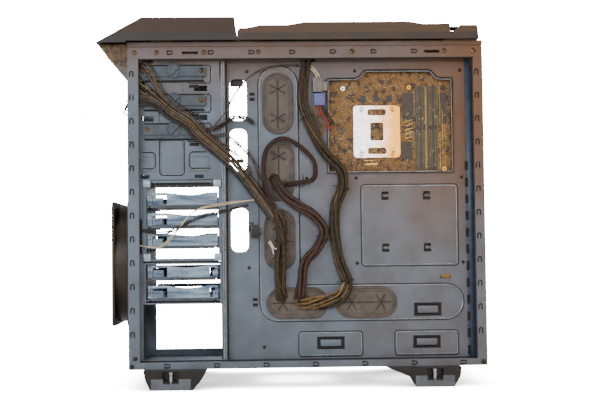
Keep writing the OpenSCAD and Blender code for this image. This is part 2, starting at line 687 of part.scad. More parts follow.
// A fan frame along +Z from z = 0: a square frame, a spider at the back and a hub with the bearing hole
module fan_frame(s, t) difference() {
    union() {
        difference() {
            union() {
                for (z = [0, t - 4]) translate([0, 0, z]) linear_extrude(4)
                    round_rect(-s / 2, -s / 2, s / 2, s / 2, s * 0.06, 4);
                translate([0, 0, 1]) cylinder(r = s / 2 - 2, h = t - 2, $fn = 64);
            }
            translate([0, 0, -1]) cylinder(r = s / 2 - 4, h = t + 2, $fn = 64);
        }
        cylinder(r = s * 0.16, h = 2.5, $fn = 48);
        for (i = [0:3]) rotate(35 + 90 * i) translate([s * 0.15, -3, 0.5]) cube([s * 0.35 - 2.8, 6, 2]);
        cylinder(r = 4, h = t * 0.4);
    }
    translate([0, 0, -1]) cylinder(r = shaft_hole_r, h = t);
    for (sx = [-1, 1], sy = [-1, 1]) translate([sx * s * 0.4375, sy * s * 0.4375, -1]) cylinder(r = 2.2, h = t + 2);
}

// A fan rotor for the frame above: a cup over the bearing, a shaft and tilted blades
module fan_rotor(s, t, blades) {
    tip = s / 2 - 4 - fan_clear - 1;
    hub = s * 0.16;
    difference() {
        translate([0, 0, 3]) cylinder(r = hub, h = t - 4, $fn = 48);
        translate([0, 0, 2]) cylinder(r = hub - 2, h = t - 5 - 0.5, $fn = 48);
    }
    translate([0, 0, 0.5]) cylinder(r = shaft_r, h = t - 2.5);
    intersection() {
        translate([0, 0, 3]) cylinder(r = tip, h = t - 4.2, $fn = 64);
        for (i = [0:blades - 1]) rotate(360 / blades * i) translate([hub - 1, 0, t / 2 + 0.6]) rotate([38, 0, 0])
            translate([0, -s * 0.13, -0.7]) cube([tip, s * 0.26, 1.4]);
    }
}

module front_fan_place() at(0, 0, front_fan_v) rotate([90, 0, 0]) children();
module top_fan_place() at(0, top_fan_u, frame_h) children();
module rear_fan_place() at(rear_fan_x, frame_d - steel_t, rear_fan_v) rotate([90, 0, 0]) children();
cooler_fan_u = cpu_u - 26;
module cooler_fan_place() at(cooler_x, cooler_fan_u, cpu_v) rotate([90, 0, 0]) children();

module front_fan_frame() color(BLACK_PLASTIC) front_fan_place() fan_frame(front_fan_s, front_fan_t);
module front_fan_rotor() color("#7a3a34") front_fan_place() fan_rotor(front_fan_s, front_fan_t, 9);
module top_fan_frame() color(BLACK_PLASTIC) top_fan_place() fan_frame(top_fan_s, top_fan_t);
module top_fan_rotor() color("#4c4a48") top_fan_place() fan_rotor(top_fan_s, top_fan_t, 9);
module rear_fan_frame() color(BLACK_PLASTIC) rear_fan_place() fan_frame(rear_fan_s, rear_fan_t);
module rear_fan_rotor() color("#4c4a48") rear_fan_place() fan_rotor(rear_fan_s, rear_fan_t, 7);
module cooler_fan_frame() color(BLACK_PLASTIC) cooler_fan_place() fan_frame(cooler_fan_s, cooler_fan_t);
module cooler_fan_rotor() color("#4c4a48") cooler_fan_place() fan_rotor(cooler_fan_s, cooler_fan_t, 7);

// --- power supply ------------------------------------------------------------

psu_fan_r = 62;
psu_fan_x = psu_x0 + psu_w / 2;
psu_fan_u = psu_u0 + 84;
psu_back_u = frame_d - steel_t;
inlet_x = psu_x0 + 26;
rocker_x = inlet_x + 30;
inlet_v = psu_v0 + 22;
rocker_w = 12.6;
rocker_l = 18;

module psu_case() color(BLACK_STEEL) difference() {
    union() {
        difference() {
            block(psu_x0, psu_u0, psu_v0, psu_w, psu_l, psu_h);
            block(psu_x0 + 1.2, psu_u0 + 1.2, psu_v0 + 1.2, psu_w - 2.4, psu_l - 2.4, psu_h - 2.4);
            at(psu_fan_x, psu_fan_u, psu_v0 - 1) cylinder(r = psu_fan_r + 2, h = 4, $fn = 64);
        }
        at(psu_fan_x, psu_fan_u, psu_v0) cylinder(r = 18, h = 1.2, $fn = 48);
        for (a = [0, 90]) at(psu_fan_x, psu_fan_u, psu_v0) rotate(a)
            translate([-psu_fan_r - 3, -3, 0]) cube([2 * psu_fan_r + 6, 6, 1.2]);
        at(psu_fan_x, psu_fan_u, psu_v0) cylinder(r = 4, h = 9);
    }
    at(psu_fan_x, psu_fan_u, psu_v0 - 1) cylinder(r = shaft_hole_r, h = 14);
    block(inlet_x - 13.5, psu_back_u - 3, inlet_v - 10, 27, 5, 20);
    block(rocker_x - rocker_w / 2 - gap, psu_back_u - 3, inlet_v - rocker_l / 2 - gap,
          rocker_w + 2 * gap, 5, rocker_l + 2 * gap);
    block(psu_x0 + 100, psu_u0 - 1, psu_v0 + 46, 40, 4, 28);
    for (i = [0:5], j = [0:3]) block(psu_x0 + 80 + i * 11, psu_back_u - 3, psu_v0 + 10 + j * 17, 7, 5, 13);
}

module psu_fan_rotor() color("#4c4a48") at(psu_fan_x, psu_fan_u, psu_v0 - 1) {
    fan_rotor(2 * psu_fan_r + 4, 26, 9);
}

// The mains inlet in the back of the power supply
module psu_inlet() color("#2b2928") {
    difference() {
        union() {
            block(inlet_x - 13.5, psu_back_u - 18, inlet_v - 10, 27, 18, 20);
            block(inlet_x - 14.5, psu_back_u, inlet_v - 11, 29, 1.6, 22);
        }
        face(psu_back_u - 15, 20) polygon([[inlet_x - 12, inlet_v - 8], [inlet_x + 12, inlet_v - 8],
            [inlet_x + 12, inlet_v + 4], [inlet_x + 8, inlet_v + 8], [inlet_x - 8, inlet_v + 8],
            [inlet_x - 12, inlet_v + 4]]);
    }
    for (p = [[-7, -2], [0, 2], [7, -2]]) block(inlet_x + p[0] - 1, psu_back_u - 16, inlet_v + p[1] - 2.5, 2, 13, 5);
}

module psu_switch() color("#2b2928") at(rocker_x, psu_back_u - 4, inlet_v) {
    translate([-rocker_w / 2, 0, 0]) rotate([90, 0, 90]) linear_extrude(rocker_w)
        polygon([[-3, -6], [2, -rocker_l / 2 + 0.8], [4.6, -rocker_l / 2 + 1.4], [4.2, 0],
                 [5.8, rocker_l / 2 - 1.6], [2, rocker_l / 2 - 0.8], [-3, 6]]);
    // the round back that it rocks on
    translate([-rocker_w / 2, 0, 0]) rotate([0, 90, 0]) cylinder(r = 3.8, h = rocker_w);
}

// --- motherboard and what sits on it -----------------------------------------

board_face = x_board;
cooler_x = x_board - 78;
cooler_fan_s = 110;
cooler_fan_t = 22;

module motherboard_pcb() color(BOARD) difference() {
    block(x_board, board_front_u, board_top_v - board_l, board_t, board_w, board_l);
    for (u = atx_u, v = atx_v) at(x_board - 1, hole_rear_u + u, hole_top_v + v)
        rotate([0, 90, 0]) cylinder(r = 2, h = 5);
    for (su = [-1, 1], sv = [-1, 1]) at(x_board - 1, cpu_u + su * 24, cpu_v + sv * 36)
        rotate([0, 90, 0]) cylinder(r = 2, h = 5);
}

// The stiffening plate behind the processor: a rim with a bar each side of a square window
module cpu_backplate() color("#cbb58a") {
    side(plate_x0, plate_t) difference() {
        round_rect(cpu_u - plate_w / 2, cpu_v - plate_h / 2, cpu_u + plate_w / 2, cpu_v + plate_h / 2, 5, 4);
        round_rect(cpu_u - 9.5, cpu_v - 13, cpu_u + 9.5, cpu_v + 13, 2, 4);
        for (s = [-1, 1]) round_rect(cpu_u - 13.3, cpu_v + s * 28.5 - 4.5, cpu_u + 13.3, cpu_v + s * 28.5 + 4.5, 3, 4);
        for (su = [-1, 1], sv = [-1, 1]) translate([cpu_u + su * 24, cpu_v + sv * 36 - sv * 6]) circle(r = 1.2);
    }
    for (su = [-1, 1], sv = [-1, 1]) at(x_board - 5, cpu_u + su * 24, cpu_v + sv * 36)
        rotate([0, 90, 0]) cylinder(r = 1.7, h = plate_x0 + plate_t - x_board + 5);
}

slot_dv = [for (v = slot_v) v];
memory_u = [for (i = [0:3]) 272 + i * 9.5];

module board_sockets() color("#2a2a2c") {
    // processor socket with its lid and chip
    difference() {
        block(x_board - 4, cpu_u - 22, cpu_v - 24, 4, 44, 48);
        block(x_board - 5, cpu_u - 18, cpu_v - 19, 3, 36, 38);
    }
    block(x_board - 5, cpu_u - 15, cpu_v - 15, 3.2, 30, 30);
    for (v = [cpu_v - 21, cpu_v + 18]) block(x_board - 5.2, cpu_u - 20, v, 1.4, 40, 3);
    // expansion slots
    for (i = [0:5]) difference() {
        block(x_board - 11, hole_rear_u - 100, slot_dv[i] - 3.7, 11, 88, 7.4);
        block(x_board - 12, hole_rear_u - 98, slot_dv[i] - 0.9, 9, 84, 1.8);
    }
    // memory slots
    for (u = memory_u) difference() {
        block(x_board - 8, u - 3.2, cpu_v - 66, 8, 6.4, 140);
        block(x_board - 9, u - 0.8, cpu_v - 63, 6.5, 1.6, 134);
    }
    // power and drive headers
    difference() {
        block(x_board - 12, board_front_u + 2, cpu_v - 50, 12, 9, 52);
        for (i = [0:11], s = [0, 1]) block(x_board - 13, board_front_u + 2.8 + s * 4, cpu_v - 49 + i * 4.2, 10, 3.2, 3.2);
    }
    block(x_board - 11, hole_rear_u - 130, board_top_v - 12, 11, 18, 9);
    for (i = [0:3]) block(x_board - 9, board_front_u + 3, cpu_v - 90 - i * 20, 9, 14, 16);
}

module memory_modules() color("#35603f") for (i = [0:3]) {
    block(x_board - 36, memory_u[i] - 0.6, cpu_v - 62, 33.5, 1.2, 132);
    for (k = [0:7]) block(x_board - 32, memory_u[i] + 0.6, cpu_v - 57 + k * 16, 11, 1, 12);
}

module board_heatsinks() color("#7f8790") {
    difference() {
        block(x_board - 26, cpu_u + 48, cpu_v - 42, 26, 26, 84);
        for (i = [0:9]) block(x_board - 27, cpu_u + 47, cpu_v - 39 + i * 8.2, 21, 28, 4.4);
    }
    difference() {
        block(x_board - 8, hole_rear_u - 172, slot_dv[3] - 22, 8, 40, 40);
        for (i = [0:4]) block(x_board - 9, hole_rear_u - 169 + i * 7.6, slot_dv[3] - 23, 5, 4, 42);
    }
}

cooler_base = x_board - 5.2;

module cooler_heatsink() color("#b9bcc0") {
    block(cooler_base - 9, cpu_u - 20, cpu_v - 20, 9, 40, 40);
    for (s = [-1, 1], k = [-1, 1]) at(cooler_base - 132, cpu_u + k * 10, cpu_v + s * 32)
        rotate([0, 90, 0]) cylinder(r = 3, h = 108, $fn = 24);
    for (s = [-1, 1], k = [-1, 1]) block(cooler_base - 27, cpu_u + k * 10 - 3, s > 0 ? cpu_v + 10 : cpu_v - 35, 6, 6, 25);
    for (k = [-1, 1]) block(cooler_base - 27, cpu_u + k * 10 - 3, cpu_v - 16, 20, 6, 32);
    for (i = [0:13]) difference() {
        block(cooler_base - 128 + i * 7, cpu_u - 25, cpu_v - 52, 0.8, 50, 104);
    }
}

card_v = slot_dv[0];
card_l = 228;
card_u0 = frame_d - 3 - card_l;
gpu_fan_u = card_u0 + 84;
gpu_fan_x = slot_x0 + 50;
gpu_fan_r = 36;

module graphics_card() color("#4b3a2c") {
    block(slot_x0 + 9, card_u0, card_v - 0.8, slot_x1 - slot_x0 - 20, card_l, 1.6);
    block(x_board - 8.5, hole_rear_u - 96, card_v - 0.8, 5.5, 80, 1.6);
    difference() {
        face(frame_d, 1) rect(slot_x0, card_v - slot_pitch - 9, slot_x1, card_v + 9);
        for (v = [card_v, card_v - slot_pitch]) at(slot_x0 + 5, frame_d - 1, v) rotate([-90, 0, 0]) cylinder(r = screw_hole_r, h = 4);
        for (x = [20, 56]) block(slot_x0 + x, frame_d - 1, card_v - 13, 26, 4, 9);
        for (i = [0:7]) block(slot_x0 + 18 + i * 9, frame_d - 1, card_v - 27, 5, 4, 8);
    }
    for (x = [22, 58]) block(slot_x0 + x, frame_d - 16, card_v - 12, 22, 15, 11.3);
}

module graphics_shroud() color("#2f2d2c") difference() {
    union() {
        difference() {
            block(slot_x0 + 4, card_u0, card_v - 36, slot_x1 - slot_x0 - 17, card_l - 18, 35.2);
            block(slot_x0 + 6, card_u0 + 2, card_v - 34, slot_x1 - slot_x0 - 21, card_l - 14, 40);
            at(gpu_fan_x, gpu_fan_u, card_v - 40) cylinder(r = gpu_fan_r + 1, h = 10, $fn = 64);
        }
        at(gpu_fan_x, gpu_fan_u, card_v - 36) cylinder(r = 12, h = 2.5);
        for (i = [0:2]) at(gpu_fan_x, gpu_fan_u, card_v - 35.6) rotate(120 * i + 20)
            translate([8, -2, 0]) cube([gpu_fan_r - 5, 4, 1.6]);
        at(gpu_fan_x, gpu_fan_u, card_v - 35) cylinder(r = 4, h = 7);
        for (i = [0:9]) block(slot_x0 + 8, card_u0 + 128 + i * 6.5, card_v - 35, slot_x1 - slot_x0 - 25, 1.2, 33);
        block(slot_x0 + 8, card_u0 + 126, card_v - 3.5, slot_x1 - slot_x0 - 25, 64, 2.7);
    }
    at(gpu_fan_x, gpu_fan_u, card_v - 37) cylinder(r = shaft_hole_r, h = 14);
}

module gpu_fan_rotor() color("#4c4a48") at(gpu_fan_x, gpu_fan_u, card_v - 36.5) fan_rotor(2 * gpu_fan_r + 5, 20, 9);

module rear_io_ports() color("#9aa0a8") {
    difference() {
        face(frame_d - steel_t + 0.3, steel_t - 0.3) rect(io_x0 + 0.3, io_v0 + 0.3, io_x1 - 0.3, io_v1 - 0.3);
        for (i = [0:5]) block(x_board - 24, frame_d - 3, io_v0 + 8 + i * 24, 17, 5, 15);
        for (i = [0:3]) block(x_board - 42, frame_d - 3, io_v0 + 8 + i * 24, 13, 5, 15);
    }
    for (i = [0:5]) difference() {
        block(x_board - 24, frame_d - 19, io_v0 + 8 + i * 24, 17, 19, 15);
        for (v = [9, 16]) difference() {
            block(x_board - 22.5, frame_d - 10, io_v0 + v + i * 24, 14, 12, 5);
            block(x_board - 21.5, frame_d - 11, io_v0 + v + 1.6 + i * 24, 12, 9.5, 1.8);
        }
    }
    for (i = [0:3]) difference() {
        block(x_board - 42, frame_d - 19, io_v0 + 8 + i * 24, 13, 19, 15);
        for (v = [11.5, 19.5]) at(x_board - 35.5, frame_d - 10, io_v0 + v + i * 24) rotate([-90, 0, 0]) cylinder(r = 1.8, h = 12);
    }
    block(x_board - 45, frame_d - 19, io_v0 + 4, 45, 6, 148);
}

module slot_covers() color(STEEL) for (i = [2:6]) difference() {
    face(frame_d, 1) rect(slot_x0, slot_dv[i] - 9, slot_x1, slot_dv[i] + 9);
    at(slot_x0 + 5, frame_d - 1, slot_dv[i]) rotate([-90, 0, 0]) cylinder(r = screw_hole_r, h = 4);
    for (k = [0:7]) block(slot_x0 + 20 + k * 10, frame_d - 1, slot_dv[i] - 4, 5, 4, 8);
}

module slot_screws() color("#3a3836") for (v = slot_dv) at(slot_x0 + 5, frame_d, v) rotate([-90, 0, 0]) {
    translate([0, 0, 1]) cylinder(r = 5, h = rear_proud - 1, $fn = 24);
    translate([0, 0, -5]) cylinder(r = screw_r, h = 7);
}

// A pan-head screw whose head sits on the plane x = 0 and faces +X
module side_screw(l, r) rotate([0, 90, 0]) {
    difference() {
        cylinder(r = r, h = 1.7, $fn = 24);
        for (a = [0, 90]) rotate(a) translate([-r * 0.6, -0.4, 1]) cube([r * 1.2, 0.8, 2]);
    }
    translate([0, 0, -l]) cylinder(r = screw_r, h = l + 0.5);
}

module chassis_screws() color(BRASS) {
    both_sides() for (u = top_screw_u) at(rail_x, u, frame_h - 15) side_screw(4, 2.9);
    for (v = bay_lock_v, u = [lock_u0 + 5, lock_u0 + lock_l - 5]) at(x_bay + lock_t, u, v) side_screw(4, 2.9);
    // threaded standoffs with their screws
    for (u = atx_u, v = atx_v) at(x_board, hole_rear_u + u, hole_top_v + v) {
        difference() {
            translate([board_t, 0, 0]) rotate([0, 90, 0]) cylinder(r = standoff_r, h = standoff_h, $fn = 6);
            translate([board_t - 1, 0, 0]) rotate([0, 90, 0]) cylinder(r = screw_r - 0.1, h = 5);
        }
        translate([board_t + standoff_h - 0.5, 0, 0]) rotate([0, 90, 0]) cylinder(r = screw_r, h = 1.6);
        rotate([0, 90, 0]) translate([0, 0, -2]) cylinder(r = 3, h = 2, $fn = 24);
        rotate([0, 90, 0]) translate([0, 0, -1]) cylinder(r = screw_r - 0.1, h = 6);
    }
}

// --- cable harness -----------------------------------------------------------

// Points run along each cable as (gap out from the tray, u, v)
cpu_power_pts = [[-12, 262, 456], [2, 262, 455], [10, 258, 438], [11, 254, 389], [11, 262, 356],
                 [11, 284, 312], [13, 308, 283], [13, 310, 258], [11, 299, 230], [11, 298, 190],
                 [11, 305, 150], [11, 314, 120], [11, 303, 98], [8, 282, 90], [-4, 268, 90]];
main_power_pts = [[-8, 210, 276], [4, 210, 272], [13, 225, 248], [14, 244, 232], [15, 266, 219],
                  [15, 281, 196], [13, 272, 172], [12, 254, 150], [11, 249, 122], [6, 246, 102], [-6, 245, 92]];
rear_drop_pts = [[14, 212, 226], [14, 220, 196], [13, 219, 160], [12, 217, 122], [6, 219, 102], [-6, 222, 92]];
loop_pts = [[-6, 226, 262], [6, 230, 264], [16, 250, 266], [16, 268, 272], [16, 268, 296], [16, 246, 320],
            [16, 223, 330], [17, 202, 318], [19, 195, 290], [19, 200, 256], [15, 211, 228]];
front_panel_pts = [[6, 3, 405], [9, 12, 405], [15.5, 23, 403], [21.9, 36, 396], [21.9, 48, 384],
                   [21.9, 62, 371], [21.9, 88, 354], [21.9, 104, 335], [19.5, 140, 304], [15, 168, 273],
                   [14, 192, 241], [14, 209, 216]];
fan_lead_pts = [[7, 3, 178], [14, 15.5, 177], [18, 45, 175], [18, 67, 195], [18, 95, 226],
                [17, 137, 236], [12, 169, 240], [12, 190, 243]];
flat_lead_pts = [[7, 3, 200], [14, 15.5, 199], [18, 56, 196], [18, 95, 214], [18, 137, 226], [13, 172, 234]];
thin_lead_pts = [[20, 116, 338], [19, 140, 368], [14, 152, 392], [10, 170, 416], [8, 194, 432],
                 [8, 228, 438], [4, 248, 438]];

function unit(a) = a / norm(a);
function leg(pts, i) = unit(pts[min(i + 1, len(pts) - 1)] - pts[max(i - 1, 0)]);
function turned(n, t) = unit(n - (n * t) * t);

// A tube swept along points: each ring's first direction is carried on from the ring before
module cable_tube(pts, r, sides = 8) {
    t = [for (i = [0:len(pts) - 1]) leg(pts, i)];
    n0 = turned([0.1, 0.3, 1], t[0]);
    dirs = [for (i = 0, n = n0; i < len(pts); i = i + 1, n = turned(n, t[min(i, len(pts) - 1)])) n];
    rings = [for (i = [0:len(pts) - 1], k = [0:sides - 1])
             pts[i] + r * (cos(360 * k / sides) * dirs[i] + sin(360 * k / sides) * cross(t[i], dirs[i]))];
    walls = [for (i = [0:len(pts) - 2], k = [0:sides - 1]) let (a = i * sides, m = (k + 1) % sides)
             each [[a + k, a + m, a + sides + m], [a + k, a + sides + m, a + sides + k]]];
    start = [for (k = [0:sides - 1]) sides - 1 - k];
    end = [for (k = [0:sides - 1]) (len(pts) - 1) * sides + k];
    at(x_tray, 0, 0) polyhedron(rings, concat([start], walls, [end]));
}

bundle_r = 6;
module cable_cpu_power() color("#5b4a30") cable_tube(cpu_power_pts, bundle_r);
module cable_main_power() color("#5b4a30") {
    cable_tube(main_power_pts, bundle_r);
    cable_tube(rear_drop_pts, bundle_r);
}
module cable_front_panel() color("#3a3430") cable_tube(front_panel_pts, 3.4);
module cable_leads() color("#8a7452") {
    cable_tube(loop_pts, 3.4);
    cable_tube(fan_lead_pts, 1.4, 6);
    cable_tube(flat_lead_pts, 1.7, 6);
    cable_tube(thin_lead_pts, 1.4, 6);
}

// A tie round a bundle that runs at the given angle in the side plane
module tie(x, u, v, a, r) at(x_tray + x, u, v) rotate([a - 90, 0, 0]) difference() {
    union() {
        cylinder(r = r + 1, h = 3, center = true, $fn = 24);
        translate([r - 0.4, -2, -2]) cube([3, 4, 4]);
    }
    cylinder(r = r, h = 5, center = true, $fn = 24);
}

module cable_ties() color("#2b2928") {
    tie(21.9, 86, 355.5, -36, 3.7);
    tie(11, 299, 230, 75, 6.6);
    tie(11, 305, 150, -78, 6.6);
    tie(13, 219, 162, -90, 6.6);
}

module cable_connectors() color("#2b2928") {
    block(x_tray + 12, 176, 186, 9, 16, 20);
    block(x_tray + 4, 268, 398, 10, 14, 18);
    block(x_tray + 1.2, 150, 300, 6, 16, 36);
    at(x_tray + 14, 212, 232) rotate([45, 0, 0]) translate([-5, -6, -4]) cube([10, 12, 10]);
}

// --- drawing -----------------------------------------------------------------

bottom_pan();
top_panel();
rear_panel();
front_frame();
motherboard_tray();
bay_wall_right();
bay_wall_left();
hdd_cage_upper();
hdd_cage_lower();
lock_bars();
hood();
io_bracket();
handle_rails();
top_deck();
feet();
foot_plates();
front_fan_frame();
top_fan_frame();
rear_fan_frame();
psu_case();
psu_inlet();
motherboard_pcb();
cpu_backplate();
front_ports();
cooler_heatsink();
cooler_fan_frame();
board_sockets();
memory_modules();
board_heatsinks();
rear_io_ports();
graphics_card();
graphics_shroud();
slot_covers();
slot_screws();
grommets();
chassis_screws();
cable_cpu_power();
cable_main_power();
cable_front_panel();
cable_leads();
cable_ties();
cable_connectors();
hdd_tray(0);  // hdd_tray_1
hdd_tray(1);  // hdd_tray_2
hdd_tray(2);  // hdd_tray_3
hdd_tray(3);  // hdd_tray_4
hdd_tray(4);  // hdd_tray_5
lock_knob(0);  // lock_knob_1
lock_knob(1);  // lock_knob_2
lock_knob(2);  // lock_knob_3
power_button();
reset_button();
fan_speed_knob();
front_fan_rotor();
top_fan_rotor();
rear_fan_rotor();
cooler_fan_rotor();
gpu_fan_rotor();
psu_fan_rotor();
psu_switch();
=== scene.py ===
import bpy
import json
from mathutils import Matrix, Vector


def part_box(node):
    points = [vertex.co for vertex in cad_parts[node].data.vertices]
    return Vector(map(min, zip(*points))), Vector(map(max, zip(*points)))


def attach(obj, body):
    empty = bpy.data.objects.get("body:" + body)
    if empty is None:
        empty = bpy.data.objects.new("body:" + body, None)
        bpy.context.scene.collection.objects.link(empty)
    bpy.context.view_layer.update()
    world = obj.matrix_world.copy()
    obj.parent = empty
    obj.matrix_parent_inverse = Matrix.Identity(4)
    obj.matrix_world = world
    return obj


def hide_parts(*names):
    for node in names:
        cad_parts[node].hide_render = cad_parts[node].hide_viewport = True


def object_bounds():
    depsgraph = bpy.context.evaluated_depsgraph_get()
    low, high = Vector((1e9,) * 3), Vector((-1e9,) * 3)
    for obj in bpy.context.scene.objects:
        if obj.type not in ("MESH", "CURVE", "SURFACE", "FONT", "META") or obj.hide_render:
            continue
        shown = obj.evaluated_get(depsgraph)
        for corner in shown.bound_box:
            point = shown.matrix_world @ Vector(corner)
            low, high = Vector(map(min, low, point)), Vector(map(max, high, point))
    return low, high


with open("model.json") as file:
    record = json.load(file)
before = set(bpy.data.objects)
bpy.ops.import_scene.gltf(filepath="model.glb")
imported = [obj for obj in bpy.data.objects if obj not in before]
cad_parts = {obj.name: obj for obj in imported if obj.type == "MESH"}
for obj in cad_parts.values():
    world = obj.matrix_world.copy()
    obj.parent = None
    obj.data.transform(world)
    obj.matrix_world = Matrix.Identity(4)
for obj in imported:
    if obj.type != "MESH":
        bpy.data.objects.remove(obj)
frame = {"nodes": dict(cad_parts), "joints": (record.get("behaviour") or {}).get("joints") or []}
CAD_BOX = [list(corner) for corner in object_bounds()]

"""Finishes and fine detail of an open desktop computer tower, seen from its cable side."""

import json
import logging
import math
import random
from dataclasses import dataclass
from enum import Enum

import bmesh
import bpy
from mathutils import Matrix, Vector
from mathutils.bvhtree import BVHTree

LOG = logging.getLogger("tower")
MM = 0.001
Outline = list[tuple[float, float]]
Triple = tuple[float, float, float]
Route = list[Triple]
Tree = bpy.types.NodeTree
Socket = bpy.types.NodeSocket
Piece = bpy.types.Object


# --- places ---


@dataclass(frozen=True)
class Side:
    """The case's side view in mm: x across, u back from the frame's front, v up from its bottom."""

    front: float
    bottom: float
    tray: float

    def at(self, x: float, u: float, v: float) -> Vector:
        """A place of the side view as a point of the row frame, in metres."""
        return Vector((x, self.front + u, self.bottom + v)) * MM

    def over_tray(self, gap: float, u: float, v: float) -> Vector:
        """A place that far out from the motherboard tray, in metres."""
        return self.at(self.tray + gap, u, v)


SIDE = Side(
    front=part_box("bottom_pan")[0].y / MM,
    bottom=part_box("bottom_pan")[0].z / MM,
    tray=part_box("motherboard_tray")[0].x / MM,
)


# The middle height of each of the three bay locks, in mm from the frame's bottom.
LOCK_ROWS = (429.5, 387.1, 344.7)


class Axis(Enum):
    """The way a turned part points."""

    ACROSS = Matrix.Rotation(math.radians(90), 3, "Y")
    BACK = Matrix.Rotation(math.radians(-90), 3, "X")
    UP = Matrix.Identity(3)
    DOWN = Matrix.Rotation(math.radians(180), 3, "X")


# --- nodes ---


def linear(colour: str) -> tuple[float, float, float, float]:
    """Turns an sRGB hex colour into linear values.

    Args:
        colour: the colour, as #rrggbb.

    Returns:
        Red, green, blue and an alpha of 1.
    """
    parts = [int(colour[i : i + 2], 16) / 255 for i in (1, 3, 5)]
    red, green, blue = (c / 12.92 if c <= 0.04045 else ((c + 0.055) / 1.055) ** 2.4 for c in parts)
    return red, green, blue, 1.0


def add(
    tree: Tree, kind: str, inputs: dict | None = None, out: int | str = 0, **settings: object
) -> Socket | None:
    """Adds a node with its settings and links.

    Args:
        tree: the tree that takes the node.
        kind: the node's type.
        inputs: values or sockets for its inputs, by name or number.
        out: which output to give back.
        **settings: the node's own settings.

    Returns:
        The chosen output, or None for a node that has none.
    """
    node = tree.nodes.new(kind)
    for key, value in settings.items():
        setattr(node, key, value)
    for key, value in (inputs or {}).items():
        if isinstance(value, Socket):
            tree.links.new(value, node.inputs[key])
        else:
            node.inputs[key].default_value = value
    return node.outputs[out] if len(node.outputs) else None


def reckon(tree: Tree, how: str, *values: float | Socket, clamp: bool = False) -> Socket:
    """Adds one step of arithmetic.

    Args:
        tree: the tree that takes the node.
        how: the operation.
        *values: what it works on.
        clamp: whether to keep the result between 0 and 1.

    Returns:
        The result.
    """
    return add(tree, "ShaderNodeMath", dict(enumerate(values)), operation=how, use_clamp=clamp)


def blend(tree: Tree, amount: Socket, first: object, second: object) -> Socket:
    """Mixes two colours, all of the first at an amount of 0."""
    return add(tree, "ShaderNodeMix", {0: amount, 6: first, 7: second}, out=2, data_type="RGBA")


def ramp(tree: Tree, value: Socket, low: float, high: float, **inputs: float) -> Socket:
    """Stretches a value so that low becomes 0 and high becomes 1, unless the inputs say otherwise."""
    ends = {"From Min": low, "From Max": high}
    return add(tree, "ShaderNodeMapRange", {"Value": value, **ends, **inputs})


def ease(tree: Tree, value: Socket, low: float, high: float, start: float = 0.0, end: float = 1.0) -> Socket:
    """Goes softly from start, where the value is low, to end, where it is high."""
    ends = {"Value": value, "From Min": low, "From Max": high, "To Min": start, "To Max": end}
    return add(tree, "ShaderNodeMapRange", ends, interpolation_type="SMOOTHSTEP")


def coords(tree: Tree) -> Socket:
    """The place on the surface, in metres."""
    return add(tree, "ShaderNodeTexCoord", out="Object")


def axes(tree: Tree, kind: str = "Object") -> object:
    """The X, Y and Z of a coordinate, each as its own socket."""
    place = add(tree, "ShaderNodeTexCoord", out=kind)
    return add(tree, "ShaderNodeSeparateXYZ", {0: place}).node.outputs


# --- finishes ---


@dataclass(frozen=True)
class Finish:
    """A surface with a slow change of tone, a fine grain, and edges that are softly rounded.

    Attributes:
        name: what the finish is really made of.
        colour: its main sRGB colour.
        deep: the second colour of its slow change of tone.
        roughness: how matt it is.
        metallic: how much of a bare metal it is.
        mottle_mm: the size of the slow change.
        grain_mm: the size of the fine grain.
        grain_depth: the height of the grain, in mm.
        edge_mm: the radius at which its edges are seen as rounded.
        spread: how far the roughness changes over the surface.
    """

    name: str
    colour: str
    deep: str
    roughness: float = 0.5
    metallic: float = 0.0
    mottle_mm: float = 60.0
    grain_mm: float = 1.2
    grain_depth: float = 0.03
    edge_mm: float = 0.6
    spread: float = 0.12

    def noise(self, tree: Tree, size_mm: float, detail: float = 3.0) -> Socket:
        """An even noise whose lumps are that many mm across.

        Args:
            tree: the material's tree.
            size_mm: how many mm across its lumps are.
            detail: how many finer layers it has.

        Returns:
            The noise.
        """
        place = coords(tree)
        inputs = {"Vector": place, "Scale": 1 / (size_mm * MM), "Detail": detail, "Roughness": 0.55}
        return add(tree, "ShaderNodeTexNoise", inputs)

    def paint(self, tree: Tree) -> Socket:
        """The colour: the two tones mixed by the slow noise.

        Args:
            tree: the material's tree.

        Returns:
            The colour.
        """
        slow = self.noise(tree, self.mottle_mm)
        factor = ramp(tree, slow, 0.35, 0.65)
        return blend(tree, factor, linear(self.colour), linear(self.deep))

    def height(self, tree: Tree) -> Socket:
        """The fine grain as a height from 0 to 1."""
        return self.noise(tree, self.grain_mm, 2.0)

    def gloss(self, tree: Tree) -> Socket:
        """The roughness, a little uneven as handled surfaces are.

        Args:
            tree: the material's tree.

        Returns:
            The roughness.
        """
        patch = self.noise(tree, self.mottle_mm * 0.4)
        low, high = self.roughness - self.spread, self.roughness + self.spread
        return ramp(tree, patch, 0.0, 1.0, **{"To Min": max(low, 0.02), "To Max": min(high, 1.0)})

    def constants(self) -> dict[str, object]:
        """Shader sockets that are the same all over the surface."""
        return {"Metallic": self.metallic}

    def material(self) -> bpy.types.Material:
        """Builds the finish.

        Returns:
            A material named for the finish.
        """
        made = bpy.data.materials.new(self.name)
        made.use_nodes = True
        tree = made.node_tree
        tree.nodes.clear()
        normal = add(tree, "ShaderNodeBevel", {"Radius": self.edge_mm * MM}, samples=4)
        bump = {
            "Height": self.height(tree),
            "Distance": self.grain_depth * MM,
            "Strength": 1.0,
            "Normal": normal,
        }
        inputs = {
            "Base Color": self.paint(tree),
            "Roughness": self.gloss(tree),
            "Normal": add(tree, "ShaderNodeBump", bump),
            **self.constants(),
        }
        shader = add(tree, "ShaderNodeBsdfPrincipled", inputs)
        add(tree, "ShaderNodeOutputMaterial", {"Surface": shader})
        made.diffuse_color = linear(self.colour)
        return made


